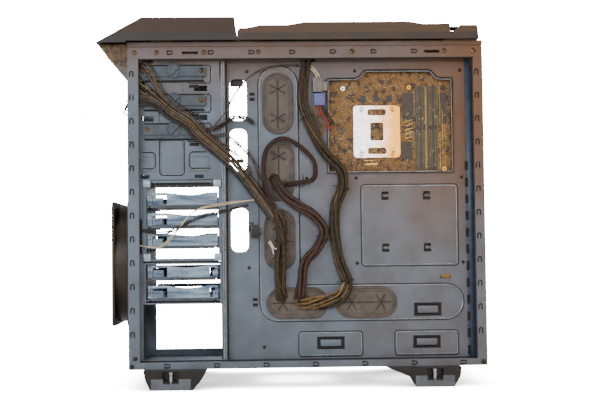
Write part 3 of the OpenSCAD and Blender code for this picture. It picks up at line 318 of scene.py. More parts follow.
@dataclass(frozen=True)
class PaintedSteel(Finish):
    """Zinc-grey sheet steel under a thin satin paint, with a painted warm reflection that grows towards the
    back and the top.

    Attributes:
        warm: the colour of the painted warm reflection that the paint drifts to.
        drift: how far the paint drifts to the painted warm reflection.
    """

    warm: str = "#6f5f50"
    drift: float = 0.8

    def paint(self, tree: Tree) -> Socket:
        """The mottled paint drifting to a painted warm reflection towards the back and the top, its edge
        shaken by slow noise.

        Args:
            tree: the material's tree.

        Returns:
            The colour.
        """
        parts = axes(tree)
        low, high = CAD_BOX
        # Painted warm reflection, stronger towards the back and the top of the case.
        back_way = ease(tree, parts[1], low[1] * 0.35, high[1] * 0.95)
        rise_way = ease(tree, parts[2], high[2] * 0.28, high[2] * 0.72, start=0.22)
        high_back = reckon(tree, "MULTIPLY", back_way, rise_way)
        up_way = ease(tree, parts[2], high[2] * 0.7, high[2] * 0.98, end=0.75)
        both = reckon(tree, "MAXIMUM", high_back, up_way)
        shaken = reckon(tree, "SUBTRACT", self.noise(tree, 90), 0.5)
        moved = reckon(tree, "MULTIPLY_ADD", shaken, 0.5, both)
        amount = reckon(tree, "MULTIPLY", moved, self.drift, clamp=True)
        return blend(tree, amount, super().paint(tree), linear(self.warm))


@dataclass(frozen=True)
class SheenedPlate(Finish):
    """Plated steel that goes from a painted cool white sheen to gold across its width.

    Attributes:
        low_y: where the painted white sheen is, in metres.
        high_y: where the gold side is, in metres.
    """

    low_y: float = 0.0
    high_y: float = 1.0

    def paint(self, tree: Tree) -> Socket:
        """The painted white sheen and the gold tone mixed across the plate, shaken by slow noise.

        Args:
            tree: the material's tree.

        Returns:
            The colour.
        """
        parts = axes(tree)
        way = ease(tree, parts[1], self.low_y, self.high_y)
        shaken = reckon(tree, "SUBTRACT", self.noise(tree, self.mottle_mm), 0.5)
        amount = reckon(tree, "MULTIPLY_ADD", shaken, 0.6, way, clamp=True)
        return blend(tree, amount, linear(self.colour), linear(self.deep))


@dataclass(frozen=True)
class BrushedMetal(Finish):
    """Bare metal with fine straight scratches along one line.

    Attributes:
        stretch: how many times longer than wide the scratches are, by axis.
    """

    stretch: Triple = (1.0, 1.0, 14.0)

    def height(self, tree: Tree) -> Socket:
        """Noise drawn out along the brushing.

        Args:
            tree: the material's tree.

        Returns:
            The height.
        """
        place = coords(tree)
        size = [1 / (self.grain_mm * MM * s) for s in self.stretch]
        laid = add(tree, "ShaderNodeMapping", {"Vector": place, "Scale": size})
        return add(tree, "ShaderNodeTexNoise", {"Vector": laid, "Scale": 1.0, "Detail": 3.0})


@dataclass(frozen=True)
class MouldedPlastic(Finish):
    """Injection-moulded ABS with an even spark-eroded texture."""

    def height(self, tree: Tree) -> Socket:
        """Rounded pits set close together.

        Args:
            tree: the material's tree.

        Returns:
            The height.
        """
        place = coords(tree)
        pits = {"Vector": place, "Scale": 1 / (self.grain_mm * MM), "Smoothness": 0.6}
        return add(tree, "ShaderNodeTexVoronoi", pits, feature="SMOOTH_F1")


@dataclass(frozen=True)
class MilkyPlastic(MouldedPlastic):
    """Tinted polycarbonate that lets some light through."""

    def constants(self) -> dict[str, object]:
        """Some light passes through the plastic."""
        return {"Transmission Weight": 0.25, "IOR": 1.58}


@dataclass(frozen=True)
class StreakedPlastic(MilkyPlastic):
    """The same plastic with long flow streaks across it."""

    def paint(self, tree: Tree) -> Socket:
        """The two tones mixed in bands that run level.

        Args:
            tree: the material's tree.

        Returns:
            The colour.
        """
        place = coords(tree)
        size = 1 / (self.mottle_mm * MM)
        laid = add(tree, "ShaderNodeMapping", {"Vector": place, "Scale": (size * 0.3, size * 0.12, size)})
        flow = {"Vector": laid, "Scale": 1.0, "Detail": 3.0, "Distortion": 0.4}
        bands = add(tree, "ShaderNodeTexNoise", flow)
        factor = ramp(tree, bands, 0.38, 0.66)
        return blend(tree, factor, linear(self.colour), linear(self.deep))


@dataclass(frozen=True)
class ReflectionToppedMoulding(MouldedPlastic):
    """A moulding in its own colour below its crease, and above it a painted warm reflection.

    Attributes:
        upper: the colour of the painted reflection above.
        crease: the height of the crease, in metres.
    """

    upper: str = "#241405"
    crease: float = 0.5

    def paint(self, tree: Tree) -> Socket:
        """The mottled lower colour, and the painted reflection colour past the crease.

        Args:
            tree: the material's tree.

        Returns:
            The colour.
        """
        parts = axes(tree)
        over = ramp(tree, parts[2], self.crease, self.crease + 1.5 * MM)
        return blend(tree, over, super().paint(tree), linear(self.upper))


@dataclass(frozen=True)
class CircuitBoard(Finish):
    """Glass-fibre laminate under a thin mask, with copper tracks and tinned points.

    Attributes:
        track: the colour of a track under the mask.
        solder: the colour of a tinned point.
        track_mm: the pitch of the tracks.
        point_mm: the pitch of the points.
    """

    track: str = "#c79a55"
    solder: str = "#f3dca4"
    track_mm: float = 1.9
    point_mm: float = 2.6

    def tracks(self, tree: Tree) -> Socket:
        """A mask of parallel tracks whose direction changes by an eighth turn from patch to patch.

        Args:
            tree: the material's tree.

        Returns:
            The mask, from 0 to 1.
        """
        place = coords(tree)
        patch = {"Vector": place, "Scale": 1 / (24 * MM)}
        shade = add(tree, "ShaderNodeTexVoronoi", patch, out="Color", distance="CHEBYCHEV")
        pick = add(tree, "ShaderNodeSeparateColor", {0: shade})
        eighths = reckon(tree, "MULTIPLY", pick, 4.0)
        whole = reckon(tree, "FLOOR", eighths)
        angle = reckon(tree, "MULTIPLY", whole, math.radians(45))
        axis = {"Vector": place, "Angle": angle, "Axis": (1.0, 0.0, 0.0)}
        turned = add(tree, "ShaderNodeVectorRotate", axis)
        wave = {"Vector": turned, "Scale": math.tau / (self.track_mm * MM) / 20, "Distortion": 0.6}
        bands = add(tree, "ShaderNodeTexWave", wave, out=1, bands_direction="Y")
        sharp = ramp(tree, bands, 0.5, 0.62)
        here = ramp(tree, self.noise(tree, 10), 0.4, 0.5)
        return reckon(tree, "MULTIPLY", sharp, here)

    def points(self, tree: Tree) -> Socket:
        """A mask of tinned points, thick in some places and missing in others.

        Args:
            tree: the material's tree.

        Returns:
            The mask, from 0 to 1.
        """
        place = coords(tree)
        grid = {"Vector": place, "Scale": 1 / (self.point_mm * MM), "Randomness": 0.75}
        near = add(tree, "ShaderNodeTexVoronoi", grid)
        dot = ramp(tree, near, 0.30, 0.2)
        here = ramp(tree, self.noise(tree, 8), 0.42, 0.52)
        return reckon(tree, "MULTIPLY", dot, here)

    def paint(self, tree: Tree) -> Socket:
        """Mask, tracks and points over each other.

        Args:
            tree: the material's tree.

        Returns:
            The colour.
        """
        base = super().paint(tree)
        tracked = blend(tree, self.tracks(tree), base, linear(self.track))
        return blend(tree, self.points(tree), tracked, linear(self.solder))

    def height(self, tree: Tree) -> Socket:
        """Tracks and points stand up from the mask."""
        return reckon(tree, "ADD", self.tracks(tree), self.points(tree))


@dataclass(frozen=True)
class BraidedSleeve(Finish):
    """Polyester braid with the wires inside showing between its crossing threads.

    Attributes:
        threads: how many threads go round each way.
        lay_mm: how far along one thread goes in a full turn.
    """

    threads: int = 6
    lay_mm: float = 16.0

    def crossing(self, tree: Tree) -> Socket:
        """The product of two waves that wind round in opposite ways, from -1 to 1.

        Args:
            tree: the material's tree.

        Returns:
            The product.
        """
        parts = axes(tree, "UV")
        around = reckon(tree, "MULTIPLY", parts[0], math.tau * self.threads)
        rate = math.tau * self.threads / (self.lay_mm * MM)
        along = reckon(tree, "MULTIPLY", parts[1], rate)
        sum_ = reckon(tree, "ADD", around, along)
        gap = reckon(tree, "SUBTRACT", around, along)
        one = reckon(tree, "SINE", sum_)
        two = reckon(tree, "SINE", gap)
        return reckon(tree, "MULTIPLY", one, two)

    def paint(self, tree: Tree) -> Socket:
        """Dark threads with the coloured wires in the gaps.

        Args:
            tree: the material's tree.

        Returns:
            The colour.
        """
        crossing = self.crossing(tree)
        gaps = ramp(tree, crossing, 0.25, 0.7)
        here = ramp(tree, self.noise(tree, 4), 0.3, 0.7)
        amount = reckon(tree, "MULTIPLY", gaps, here)
        return blend(tree, amount, linear(self.colour), linear(self.deep))

    def height(self, tree: Tree) -> Socket:
        """Threads stand up where they cross."""
        crossing = self.crossing(tree)
        return ramp(tree, crossing, 1.0, -1.0)


# Satin zinc-grey paint on sheet steel: soft broad highlights, faint orange peel, darker in worn patches, and
# a painted warm reflection towards the back and the top.
GREY_STEEL = PaintedSteel(
    "satin grey painted sheet steel", "#67727f", "#5a646f", 0.42, 0.3, 45.0, 1.5, 0.06, 0.8, 0.1,
    "#6a4a30", 0.95,
)
# Painted highlight along the rim of a bead, where light catches the pressed edge.
BEAD_HIGHLIGHT = Finish("rubbed edge of painted steel", "#a9b1b9", "#84898e", 0.3, 0.5, 20.0, 1.2, 0.02, 0.4)
# Painted shade: dark strips at the foot of a bead, in the gap round a lanced tongue, and in slits, recesses
# and openings, where only shade falls.
PAINTED_SHADE = Finish("grime in a pressed seam", "#12100f", "#1d1917", 0.8, 0.0, 12.0, 0.9, 0.03, 0.1)
# A blue zinc flange inside the rear post.
BLUE_ZINC = Finish("blue-passivated zinc", "#33404f", "#3f4a59", 0.35, 0.3, 14.0, 1.0, 0.02, 0.4)
# The same steel in black paint, as on the power supply and the expansion screws.
BLACK_STEEL = Finish("black powder-coated steel", "#2a2725", "#35302c", 0.5, 0.2, 30.0, 1.1, 0.05, 0.6)
# Moulded ABS in a brown black, with a fine spark-eroded grain.
BLACK_PLASTIC = MouldedPlastic(
    "brown-black moulded ABS", "#120d0a", "#1c140e", 0.36, 0.0, 50.0, 1.3, 0.04, 0.9,
)
# Top mouldings: satin grey-brown below their crease, and a painted warm brown reflection above it.
TOP_PLASTIC = ReflectionToppedMoulding(
    "satin brown moulded ABS", "#211d1b", "#28231f", 0.5, 0.0, 60.0, 1.3, 0.04, 0.9, 0.08, "#321b05",
    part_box("hood")[0].z + 0.0125,
)
# The rails' moulding: partly its own brown, partly a painted warm reflection that is strongest above the
# crease.
RAIL_PLASTIC = ReflectionToppedMoulding(
    "warm brown moulded ABS", "#2c2420", "#3b2b1c", 0.46, 0.0, 40.0, 1.3, 0.04, 0.9, 0.08, "#49311b",
    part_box("hood")[0].z + 0.012,
)
# Glass-filled nylon of fan frames: darker and more even.
FAN_PLASTIC = MouldedPlastic(
    "black glass-filled nylon", "#150f0a", "#33230f", 0.36, 0.0, 40.0, 1.2, 0.03, 0.6,
)
# Silver-grey moulded locks, close in tone to the steel.
LOCK_PLASTIC = MouldedPlastic(
    "silver-grey moulded ABS", "#4a535c", "#3d434a", 0.34, 0.15, 20.0, 1.0, 0.02, 0.7,
)
# Blue-grey drive trays that pass a little light.
TRAY_PLASTIC = StreakedPlastic(
    "blue-grey tinted polycarbonate", "#4c6788", "#a9c2d6", 0.25, 0.0, 7.0, 1.2, 0.02, 0.6,
)
# Soft grommet rubber, matt and slightly bloomed.
RUBBER = Finish("grey moulded rubber", "#5f5750", "#4d4640", 0.66, 0.0, 12.0, 0.9, 0.05, 0.8)
# Pressed foot plates, brushed along their length.
FOOT_METAL = BrushedMetal("brushed stainless steel", "#6f757d", "#5f646b", 0.35, 0.7, 20.0, 0.8, 0.02, 0.5)
# The bright turned pin of a foot.
PIN_METAL = BrushedMetal("turned stainless steel", "#c5cad0", "#a9adb3", 0.18, 0.95, 5.0, 0.5, 0.02, 0.3)
# Yellow-chromated screws and standoffs.
BRASS = BrushedMetal("yellow-chromated steel", "#8a744f", "#543f25", 0.28, 0.9, 5.0, 0.5, 0.02, 0.3)
# Blackened screws of the motherboard tray.
DARK_SCREW = BrushedMetal("blackened steel screw", "#4a4642", "#37332f", 0.35, 0.8, 6.0, 0.5, 0.02, 0.3)
# Solder side of the motherboard: a warm gold-brown mask over dense copper.
BOARD = CircuitBoard(
    "gold-brown circuit laminate", "#3f2812", "#2b1a0b", 0.45, 0.1, 9.0, 0.9, 0.08, 0.2, 0.12,
    "#a87a3c", "#f7dca0", 1.3, 1.9,
)
# Green laminate of the memory modules.
MEMORY_BOARD = CircuitBoard(
    "green circuit laminate", "#1f4a2c", "#173a22", 0.4, 0.0, 12.0, 1.5, 0.05, 0.2, 0.1, "#3f7a45", "#c9c39a"
)
# Nickel-plated support plate behind the processor, with a painted white sheen on one side.
BACKPLATE = SheenedPlate(
    "nickel-plated steel", "#ffffff", "#f0a83e", 0.3, 0.75, 14.0, 1.2, 0.02, 0.8, 0.08,
    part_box("cpu_backplate")[0].y + 0.015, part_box("cpu_backplate")[1].y - 0.005,
)
# Tinned shells of the rear sockets.
PORT_METAL = BrushedMetal("tinned steel", "#b4b7ba", "#9b9da0", 0.25, 0.95, 10.0, 0.6, 0.01, 0.4)
# Extruded aluminium fins.
FIN_METAL = BrushedMetal("natural aluminium", "#b8bcc1", "#a4a8ad", 0.3, 0.95, 20.0, 0.7, 0.02, 0.3)
# Smoked fan blades.
BLADE_PLASTIC = MilkyPlastic("smoked polycarbonate", "#3c3a39", "#2f2d2c", 0.25, 0.0, 30.0, 1.5, 0.01, 0.5)
# Dark red blades of the front fan.
RED_BLADE = MilkyPlastic("dark red polycarbonate", "#6e2420", "#571c19", 0.25, 0.0, 30.0, 1.5, 0.01, 0.5)
# Polyester braid over yellow and black wires.
SLEEVE = BraidedSleeve(
    "black polyester braid", "#15110c", "#94702f", 0.45, 0.0, 8.0, 1.0, 0.6, 0.2, 0.1, 5, 11.0,
)
# The same braid over red and brown wires.
RED_SLEEVE = BraidedSleeve(
    "brown polyester braid", "#241812", "#8b5538", 0.45, 0.0, 8.0, 1.0, 0.6, 0.2, 0.1, 5, 13.0,
)
# Soft PVC wire insulation in the colours of the loom.
WIRE_BLACK = Finish("black PVC insulation", "#1c1714", "#2c2420", 0.3, 0.0, 9.0, 0.8, 0.02, 0.1)
WIRE_BROWN = Finish("brown PVC insulation", "#3d3026", "#554231", 0.33, 0.0, 9.0, 0.8, 0.02, 0.1)
WIRE_GOLD = Finish("ochre PVC insulation", "#7f6336", "#544224", 0.33, 0.0, 9.0, 0.8, 0.02, 0.1)
WIRE_TAN = Finish("ivory PVC insulation", "#e0d0ac", "#b9a681", 0.35, 0.0, 9.0, 0.8, 0.02, 0.1)
# Pale insulation that has greyed.
WIRE_TAN_DARK = Finish("weathered grey PVC insulation", "#6b6459", "#4c453b", 0.33, 0.0, 9.0, 0.8, 0.02, 0.1)
WIRE_RED = Finish("red PVC insulation", "#a03a24", "#7c2c1c", 0.33, 0.0, 9.0, 0.8, 0.02, 0.1)
# The amber-brown bracket of the front sockets.
AMBER = MouldedPlastic("amber-brown moulded nylon", "#33230e", "#6e501f", 0.3, 0.0, 7.0, 1.0, 0.03, 0.6)
# Nylon of plugs, sockets and ties.
SOCKET_PLASTIC = MouldedPlastic("black nylon", "#1e1a18", "#2a2522", 0.4, 0.0, 8.0, 0.9, 0.02, 0.3)
NATURAL_NYLON = Finish("natural nylon", "#f2eee6", "#ddd7cb", 0.4, 0.0, 6.0, 0.9, 0.01, 0.3)
GREY_NYLON = MouldedPlastic("grey nylon", "#7f7b76", "#6d6a66", 0.42, 0.0, 6.0, 0.9, 0.02, 0.3)
BLUE_NYLON = MouldedPlastic("violet-blue nylon", "#6a6fb0", "#575c98", 0.4, 0.0, 6.0, 0.9, 0.02, 0.3)
# Epoxy of small chips, and tin on their points.
CHIP = Finish("black epoxy chip body", "#3b3c3c", "#2e2f30", 0.45, 0.0, 5.0, 0.6, 0.02, 0.3)
TIN = BrushedMetal("tinned copper", "#c39a52", "#8f6a33", 0.3, 0.6, 4.0, 0.4, 0.01, 0.2)
OLIVE_TIN = BrushedMetal("flux-stained tin", "#b3a67a", "#85774f", 0.4, 0.4, 4.0, 0.4, 0.01, 0.2)
# Polymer capacitor cans.
CAN_METAL = BrushedMetal("drawn aluminium can", "#c9ccd0", "#b3b6ba", 0.22, 0.95, 6.0, 0.5, 0.01, 0.3)
# Bare solder mask between the rows of pins.
DARK_MASK = Finish("dark solder mask", "#33240f", "#22170a", 0.35, 0.0, 8.0, 1.0, 0.03, 0.1)
# Zinc blocks at the corners of the drive cage.
PALE_ZINC = Finish("pale zinc steel", "#a9bccd", "#8fa1b2", 0.3, 0.2, 8.0, 1.0, 0.02, 0.5)


class Paintbox:
    """Keeps one material for each finish."""

    def __init__(self) -> None:
        """Starts with no materials."""
        self.made: dict[str, bpy.types.Material] = {}

    def of(self, finish: Finish) -> bpy.types.Material:
        """The finish's material, built the first time that it is asked for.

        Args:
            finish: the finish.

        Returns:
            Its material.
        """
        if finish.name not in self.made:
            self.made[finish.name] = finish.material()
        return self.made[finish.name]


PAINTS = Paintbox()


# --- surfaces of the case ---


class Skin:
    """Finds the CAD surface that faces +X at a place of the side view."""

    def __init__(self, skip: tuple[str, ...]) -> None:
        """Gathers the CAD surfaces.

        Args:
            skip: the starts of the names of nodes to leave out.
        """
        points, faces = [], []
        for name, node in frame["nodes"].items():
            if name.startswith(skip):
                continue
            first = len(points)
            points.extend(v.co.copy() for v in node.data.vertices)
            faces.extend([first + i for i in face.vertices] for face in node.data.polygons)
        self.tree = BVHTree.FromPolygons(points, faces)

    def x(self, u: float, v: float) -> float:
        """How far out the outermost surface is at u and v, in mm.

        Args:
            u: how far back from the frame's front, in mm.
            v: how far up from its bottom.

        Returns:
            The surface's x, or the tray's where there is none.
        """
        start = SIDE.at(140, u, v)
        hit = self.tree.ray_cast(start, Vector((-1, 0, 0)))[0]
        return SIDE.tray if hit is None else hit.x / MM


SKIN = Skin(("cable_", "chassis_screws", "hdd_tray"))


# --- shapes ---


def smooth(points: list[Vector], steps: int) -> list[Vector]:
    """Draws one smooth curve through points.

    Args:
        points: the places that the curve goes through.
        steps: how many pieces to cut each stretch into.

    Returns:
        The points of the finer line.
    """
    ends = [2 * points[0] - points[1], *points, 2 * points[-1] - points[-2]]
    line = []
    for a, b, c, d in zip(ends, ends[1:], ends[2:], ends[3:]):
        for k in range(steps):
            t = k / steps
            square = 2 * a - 5 * b + 4 * c - d
            cube = 3 * b - a - 3 * c + d
            line.append(0.5 * (2 * b + (c - a) * t + square * t**2 + cube * t**3))
    return [*line, points[-1]]


def carried(line: list[Vector]) -> list[tuple[Vector, Vector]]:
    """Carries two directions across a line along it without twist.

    Args:
        line: the points of the line.

    Returns:
        At each point, two unit vectors square to the line and to each other.
    """
    pairs, across = [], Vector((1.0, 0.05, 0.1))
    for i in range(len(line)):
        ahead = (line[min(i + 1, len(line) - 1)] - line[max(i - 1, 0)]).normalized()
        across = (across - ahead * across.dot(ahead)).normalized()
        pairs.append((across.copy(), ahead.cross(across)))
    return pairs


class Shape:
    """A mesh drawn in millimetres of the side view, one form after another."""

    def __init__(self, name: str) -> None:
        """Starts an empty mesh.

        Args:
            name: the name of the piece it will be.
        """
        self.name = name
        self.mesh = bmesh.new()
        self.uv = self.mesh.loops.layers.uv.new("UVMap")

    def faces(self, points: list[Vector], rings: list[tuple[int, ...]]) -> None:
        """Adds points in metres and the faces between them.

        Args:
            points: the corners.
            rings: each face, as the numbers of its corners.
        """
        corners = [self.mesh.verts.new(p) for p in points]
        for ring in rings:
            self.mesh.faces.new([corners[i] for i in ring])

    def block(self, x: tuple[float, float], u: tuple[float, float], v: tuple[float, float]) -> "Shape":
        """Adds a block between two values each way, in mm, and gives back the shape."""
        return self.plate([(u[0], v[0]), (u[1], v[0]), (u[1], v[1]), (u[0], v[1])], x[0], x[1])

    def plate(self, outline: Outline, x0: float, x1: float) -> "Shape":
        """Adds a flat plate from an outline of the side view.

        Args:
            outline: its corners as u and v, anticlockwise seen from +X.
            x0: its inner face.
            x1: its outer face.

        Returns:
            The shape itself.
        """
        inner, outer = ([SIDE.at(x, u, v) for u, v in outline] for x in (x0, x1))
        return self.between(inner, outer)

    def between(self, low: list[Vector], high: list[Vector]) -> "Shape":
        """Adds a closed form between two matching rings of corners.

        Args:
            low: the corners of one end, in metres.
            high: the corners of the other end, in the same order.

        Returns:
            The shape itself.
        """
        n = len(low)
        walls = [(i, (i + 1) % n, n + (i + 1) % n, n + i) for i in range(n)]
        self.faces([*low, *high], [tuple(range(n - 1, -1, -1)), tuple(range(n, 2 * n)), *walls])
        return self

    def turned(self, profile: Outline, centre: Vector, way: Axis, steps: int = 16) -> "Shape":
        """Adds a turned form.

        Args:
            profile: radius and height pairs in mm, from one end on the axis to the other.
            centre: the foot of its axis, in metres.
            way: the way that its axis points.
            steps: how many sides it has.

        Returns:
            The shape itself.
        """
        rings: list[list[bmesh.types.BMVert]] = []
        for radius, height in profile:
            count = 1 if radius == 0 else steps
            ring = []
            for k in range(count):
                a = math.tau * k / steps
                local = Vector((radius * math.cos(a), radius * math.sin(a), height)) * MM
                ring.append(self.mesh.verts.new(centre + way.value @ local))
            rings.append(ring)
        for low, high in zip(rings, rings[1:]):
            for k in range(steps):
                m = (k + 1) % steps
                corners = [low[k % len(low)], low[m % len(low)], high[m % len(high)], high[k % len(high)]]
                self.mesh.faces.new(list(dict.fromkeys(corners)))
        return self

    def tube(self, line: list[Vector], radius: float, sides: int = 8) -> "Shape":
        """Adds a tube whose UV map runs round it once and along it in metres.

        Args:
            line: the points of its middle line, in metres.
            radius: its radius in mm.
            sides: how many sides it has.

        Returns:
            The shape itself.
        """
        rings, length = [], [0.0]
        for i, (across, other) in enumerate(carried(line)):
            if i:
                length.append(length[-1] + (line[i] - line[i - 1]).length)
            turn = [math.tau * k / sides for k in range(sides)]
            spots = [line[i] + radius * MM * (math.cos(a) * across + math.sin(a) * other) for a in turn]
            rings.append([self.mesh.verts.new(spot) for spot in spots])
        for i in range(len(rings) - 1):
            for k in range(sides):
                m = (k + 1) % sides
                face = self.mesh.faces.new([rings[i][k], rings[i][m], rings[i + 1][m], rings[i + 1][k]])
                spots = [(k, i), (k + 1, i), (k + 1, i + 1), (k, i + 1)]
                for loop, (round_, along) in zip(face.loops, spots):
                    loop[self.uv].uv = (round_ / sides, length[along])
        self.mesh.faces.new(rings[0][::-1])
        self.mesh.faces.new(rings[-1])
        return self

    def piece(self, finish: Finish, bevel: float = 0.0) -> Piece:
        """Makes the object.

        Args:
            finish: its surface.
            bevel: how far to round its edges, in mm.

        Returns:
            The object, at the origin.
        """
        bmesh.ops.recalc_face_normals(self.mesh, faces=self.mesh.faces)
        data = bpy.data.meshes.new(self.name)
        self.mesh.to_mesh(data)
        self.mesh.free()
        made = bpy.data.objects.new(self.name, data)
        bpy.context.scene.collection.objects.link(made)
        data.materials.append(PAINTS.of(finish))
        if bevel:
            rounding = made.modifiers.new("rounding", "BEVEL")
            rounding.width = bevel * MM
            rounding.segments = 2
            rounding.limit_method = "ANGLE"
            bake(made)
        made.data.shade_smooth()
        made.data.set_sharp_from_angle(angle=math.radians(38))
        return made


def bake(piece: Piece) -> Piece:
    """Turns what a piece's modifiers make into its own plain mesh.

    Args:
        piece: the object with modifiers.

    Returns:
        The same object, with a new mesh and no modifiers.
    """
    seen = piece.evaluated_get(bpy.context.evaluated_depsgraph_get())
    data = bpy.data.meshes.new_from_object(seen)
    piece.modifiers.clear()
    piece.data = data
    return piece


def dress(piece: Piece, slot: str, *nodes: str, body: str = "chassis") -> Piece:
    """Ties a finished piece to its body.

    Args:
        piece: the piece.
        slot: the material slot that it stands for; not used.
        *nodes: the CAD nodes that it replaces.
        body: the CAD body that it rides on.

    Returns:
        The piece.
    """
    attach(piece, body)
    if nodes:
        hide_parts(*nodes)
    LOG.info("%s rides on %s with %d faces", piece.name, body, len(piece.data.polygons))
    return piece


# --- repeats ---


class Repeat:
    """A Geometry Nodes tree that sets copies of one small shape on the points of a mesh."""

    def __init__(self) -> None:
        """Builds the tree with its named inputs: the shape, its size and its finish."""
        self.tree = bpy.data.node_groups.new("copies on points", "GeometryNodeTree")
        face = self.tree.interface
        face.new_socket("Geometry", in_out="INPUT", socket_type="NodeSocketGeometry")
        self.sockets = {
            "Copy": face.new_socket("Copy", in_out="INPUT", socket_type="NodeSocketObject"),
            "Size": face.new_socket("Size", in_out="INPUT", socket_type="NodeSocketFloat"),
            "Finish": face.new_socket("Finish", in_out="INPUT", socket_type="NodeSocketMaterial"),
        }
        face.new_socket("Geometry", in_out="OUTPUT", socket_type="NodeSocketGeometry")
        given = self.tree.nodes.new("NodeGroupInput")
        source = add(self.tree, "GeometryNodeObjectInfo", {"Object": given.outputs["Copy"]}, out="Geometry")
        turn = add(self.tree, "GeometryNodeInputNamedAttribute", {"Name": "turn"}, data_type="FLOAT_VECTOR")
        spread = {
            "Points": given.outputs["Geometry"],
            "Instance": source,
            "Rotation": turn,
            "Scale": given.outputs["Size"],
        }
        copies = add(self.tree, "GeometryNodeInstanceOnPoints", spread)
        real = add(self.tree, "GeometryNodeRealizeInstances", {"Geometry": copies})
        coat = {"Geometry": real, "Material": given.outputs["Finish"]}
        painted = add(self.tree, "GeometryNodeSetMaterial", coat)
        add(self.tree, "NodeGroupOutput", {"Geometry": painted})

    def lay(
        self,
        name: str,
        copy: Piece,
        finish: Finish,
        places: list[Vector],
        turns: list[Triple] | None = None,
        size: float = 1.0,
    ) -> Piece:
        """Sets copies on places and makes one plain mesh of them.

        Args:
            name: the name of the new piece.
            copy: the shape that repeats, made round the origin.
            finish: the surface of the copies.
            places: where the copies go, in metres.
            turns: how each copy is turned about X, Y and Z, or None for unturned.
            size: how large each copy is.

        Returns:
            The new piece, at the origin.
        """
        data = bpy.data.meshes.new(name)
        data.from_pydata([tuple(p) for p in places], [], [])
        wanted = data.attributes.new("turn", "FLOAT_VECTOR", "POINT")
        for spot, turn in zip(wanted.data, turns or [(0.0, 0.0, 0.0)] * len(places)):
            spot.vector = turn
        made = bpy.data.objects.new(name, data)
        bpy.context.scene.collection.objects.link(made)
        spread = made.modifiers.new("copies", "NODES")
        spread.node_group = self.tree
        spread[self.sockets["Copy"].identifier] = copy
        spread[self.sockets["Size"].identifier] = size
        spread[self.sockets["Finish"].identifier] = PAINTS.of(finish)
        bake(made)
        source = copy.data
        bpy.data.objects.remove(copy)
        bpy.data.meshes.remove(source)
        return made


REPEAT = Repeat()


# --- the case ---


@dataclass
class Case:
    """The CAD nodes that keep their own shape, and the finish of each."""

    grey: tuple[str, ...] = (
        "bottom_pan", "top_panel", "rear_panel", "front_frame", "motherboard_tray", "bay_wall_right",
        "bay_wall_left", "hdd_cage_upper", "hdd_cage_lower", "slot_covers",
    )
    plastic: tuple[str, ...] = ("top_deck", "feet", "power_button", "reset_button", "fan_speed_knob")
    fans: tuple[str, ...] = ("front_fan_frame", "top_fan_frame", "rear_fan_frame", "cooler_fan_frame")
    rotors: tuple[str, ...] = (
        "front_fan_rotor", "top_fan_rotor", "rear_fan_rotor",
        "cooler_fan_rotor", "gpu_fan_rotor", "psu_fan_rotor",
    )

    def paint(self) -> None:
        """Gives every CAD node its finish."""
        table = {
            GREY_STEEL: self.grey,
            BLACK_PLASTIC: self.plastic,
            TOP_PLASTIC: ("hood",),
            RAIL_PLASTIC: ("handle_rails",),
            AMBER: ("io_bracket",),
            FAN_PLASTIC: self.fans,
            BLADE_PLASTIC: self.rotors,
            LOCK_PLASTIC: ("lock_bars", "lock_knob_1", "lock_knob_2", "lock_knob_3"),
            TRAY_PLASTIC: tuple(f"hdd_tray_{i}" for i in range(1, 6)),
            RUBBER: ("grommets",),
            FOOT_METAL: ("foot_plates",),
            BRASS: ("chassis_screws",),
            BLACK_STEEL: ("psu_case", "graphics_shroud", "slot_screws"),
            BOARD: ("motherboard_pcb", "graphics_card", "front_ports"),
            MEMORY_BOARD: ("memory_modules",),
            BACKPLATE: ("cpu_backplate",),
            PORT_METAL: ("rear_io_ports",),
            FIN_METAL: ("cooler_heatsink", "board_heatsinks"),
            SOCKET_PLASTIC: ("psu_inlet", "psu_switch", "board_sockets", "cable_ties", "cable_connectors"),
        }
        for finish, nodes in table.items():
            for node in nodes:
                holder = frame["nodes"][node].data.materials
                holder.clear()
                holder.append(PAINTS.of(finish))
        LOG.info("painted %d CAD nodes", sum(len(nodes) for nodes in table.values()))


# --- pressed edges ---


def rounded(u0: float, v0: float, u1: float, v1: float, r: float) -> Outline:
    """A rectangle with round corners.

    Args:
        u0: its front edge.
        v0: its lower edge.
        u1: its rear edge.
        v1: its upper edge.
        r: the radius of its corners.

    Returns:
        Its outline, anticlockwise.
    """
    outline = []
    for i, (u, v) in enumerate(((u1 - r, v1 - r), (u0 + r, v1 - r), (u0 + r, v0 + r), (u1 - r, v0 + r))):
        for k in range(6):
            a = math.radians(90 * (i + k / 5))
            outline.append((u + r * math.cos(a), v + r * math.sin(a)))
    return outline


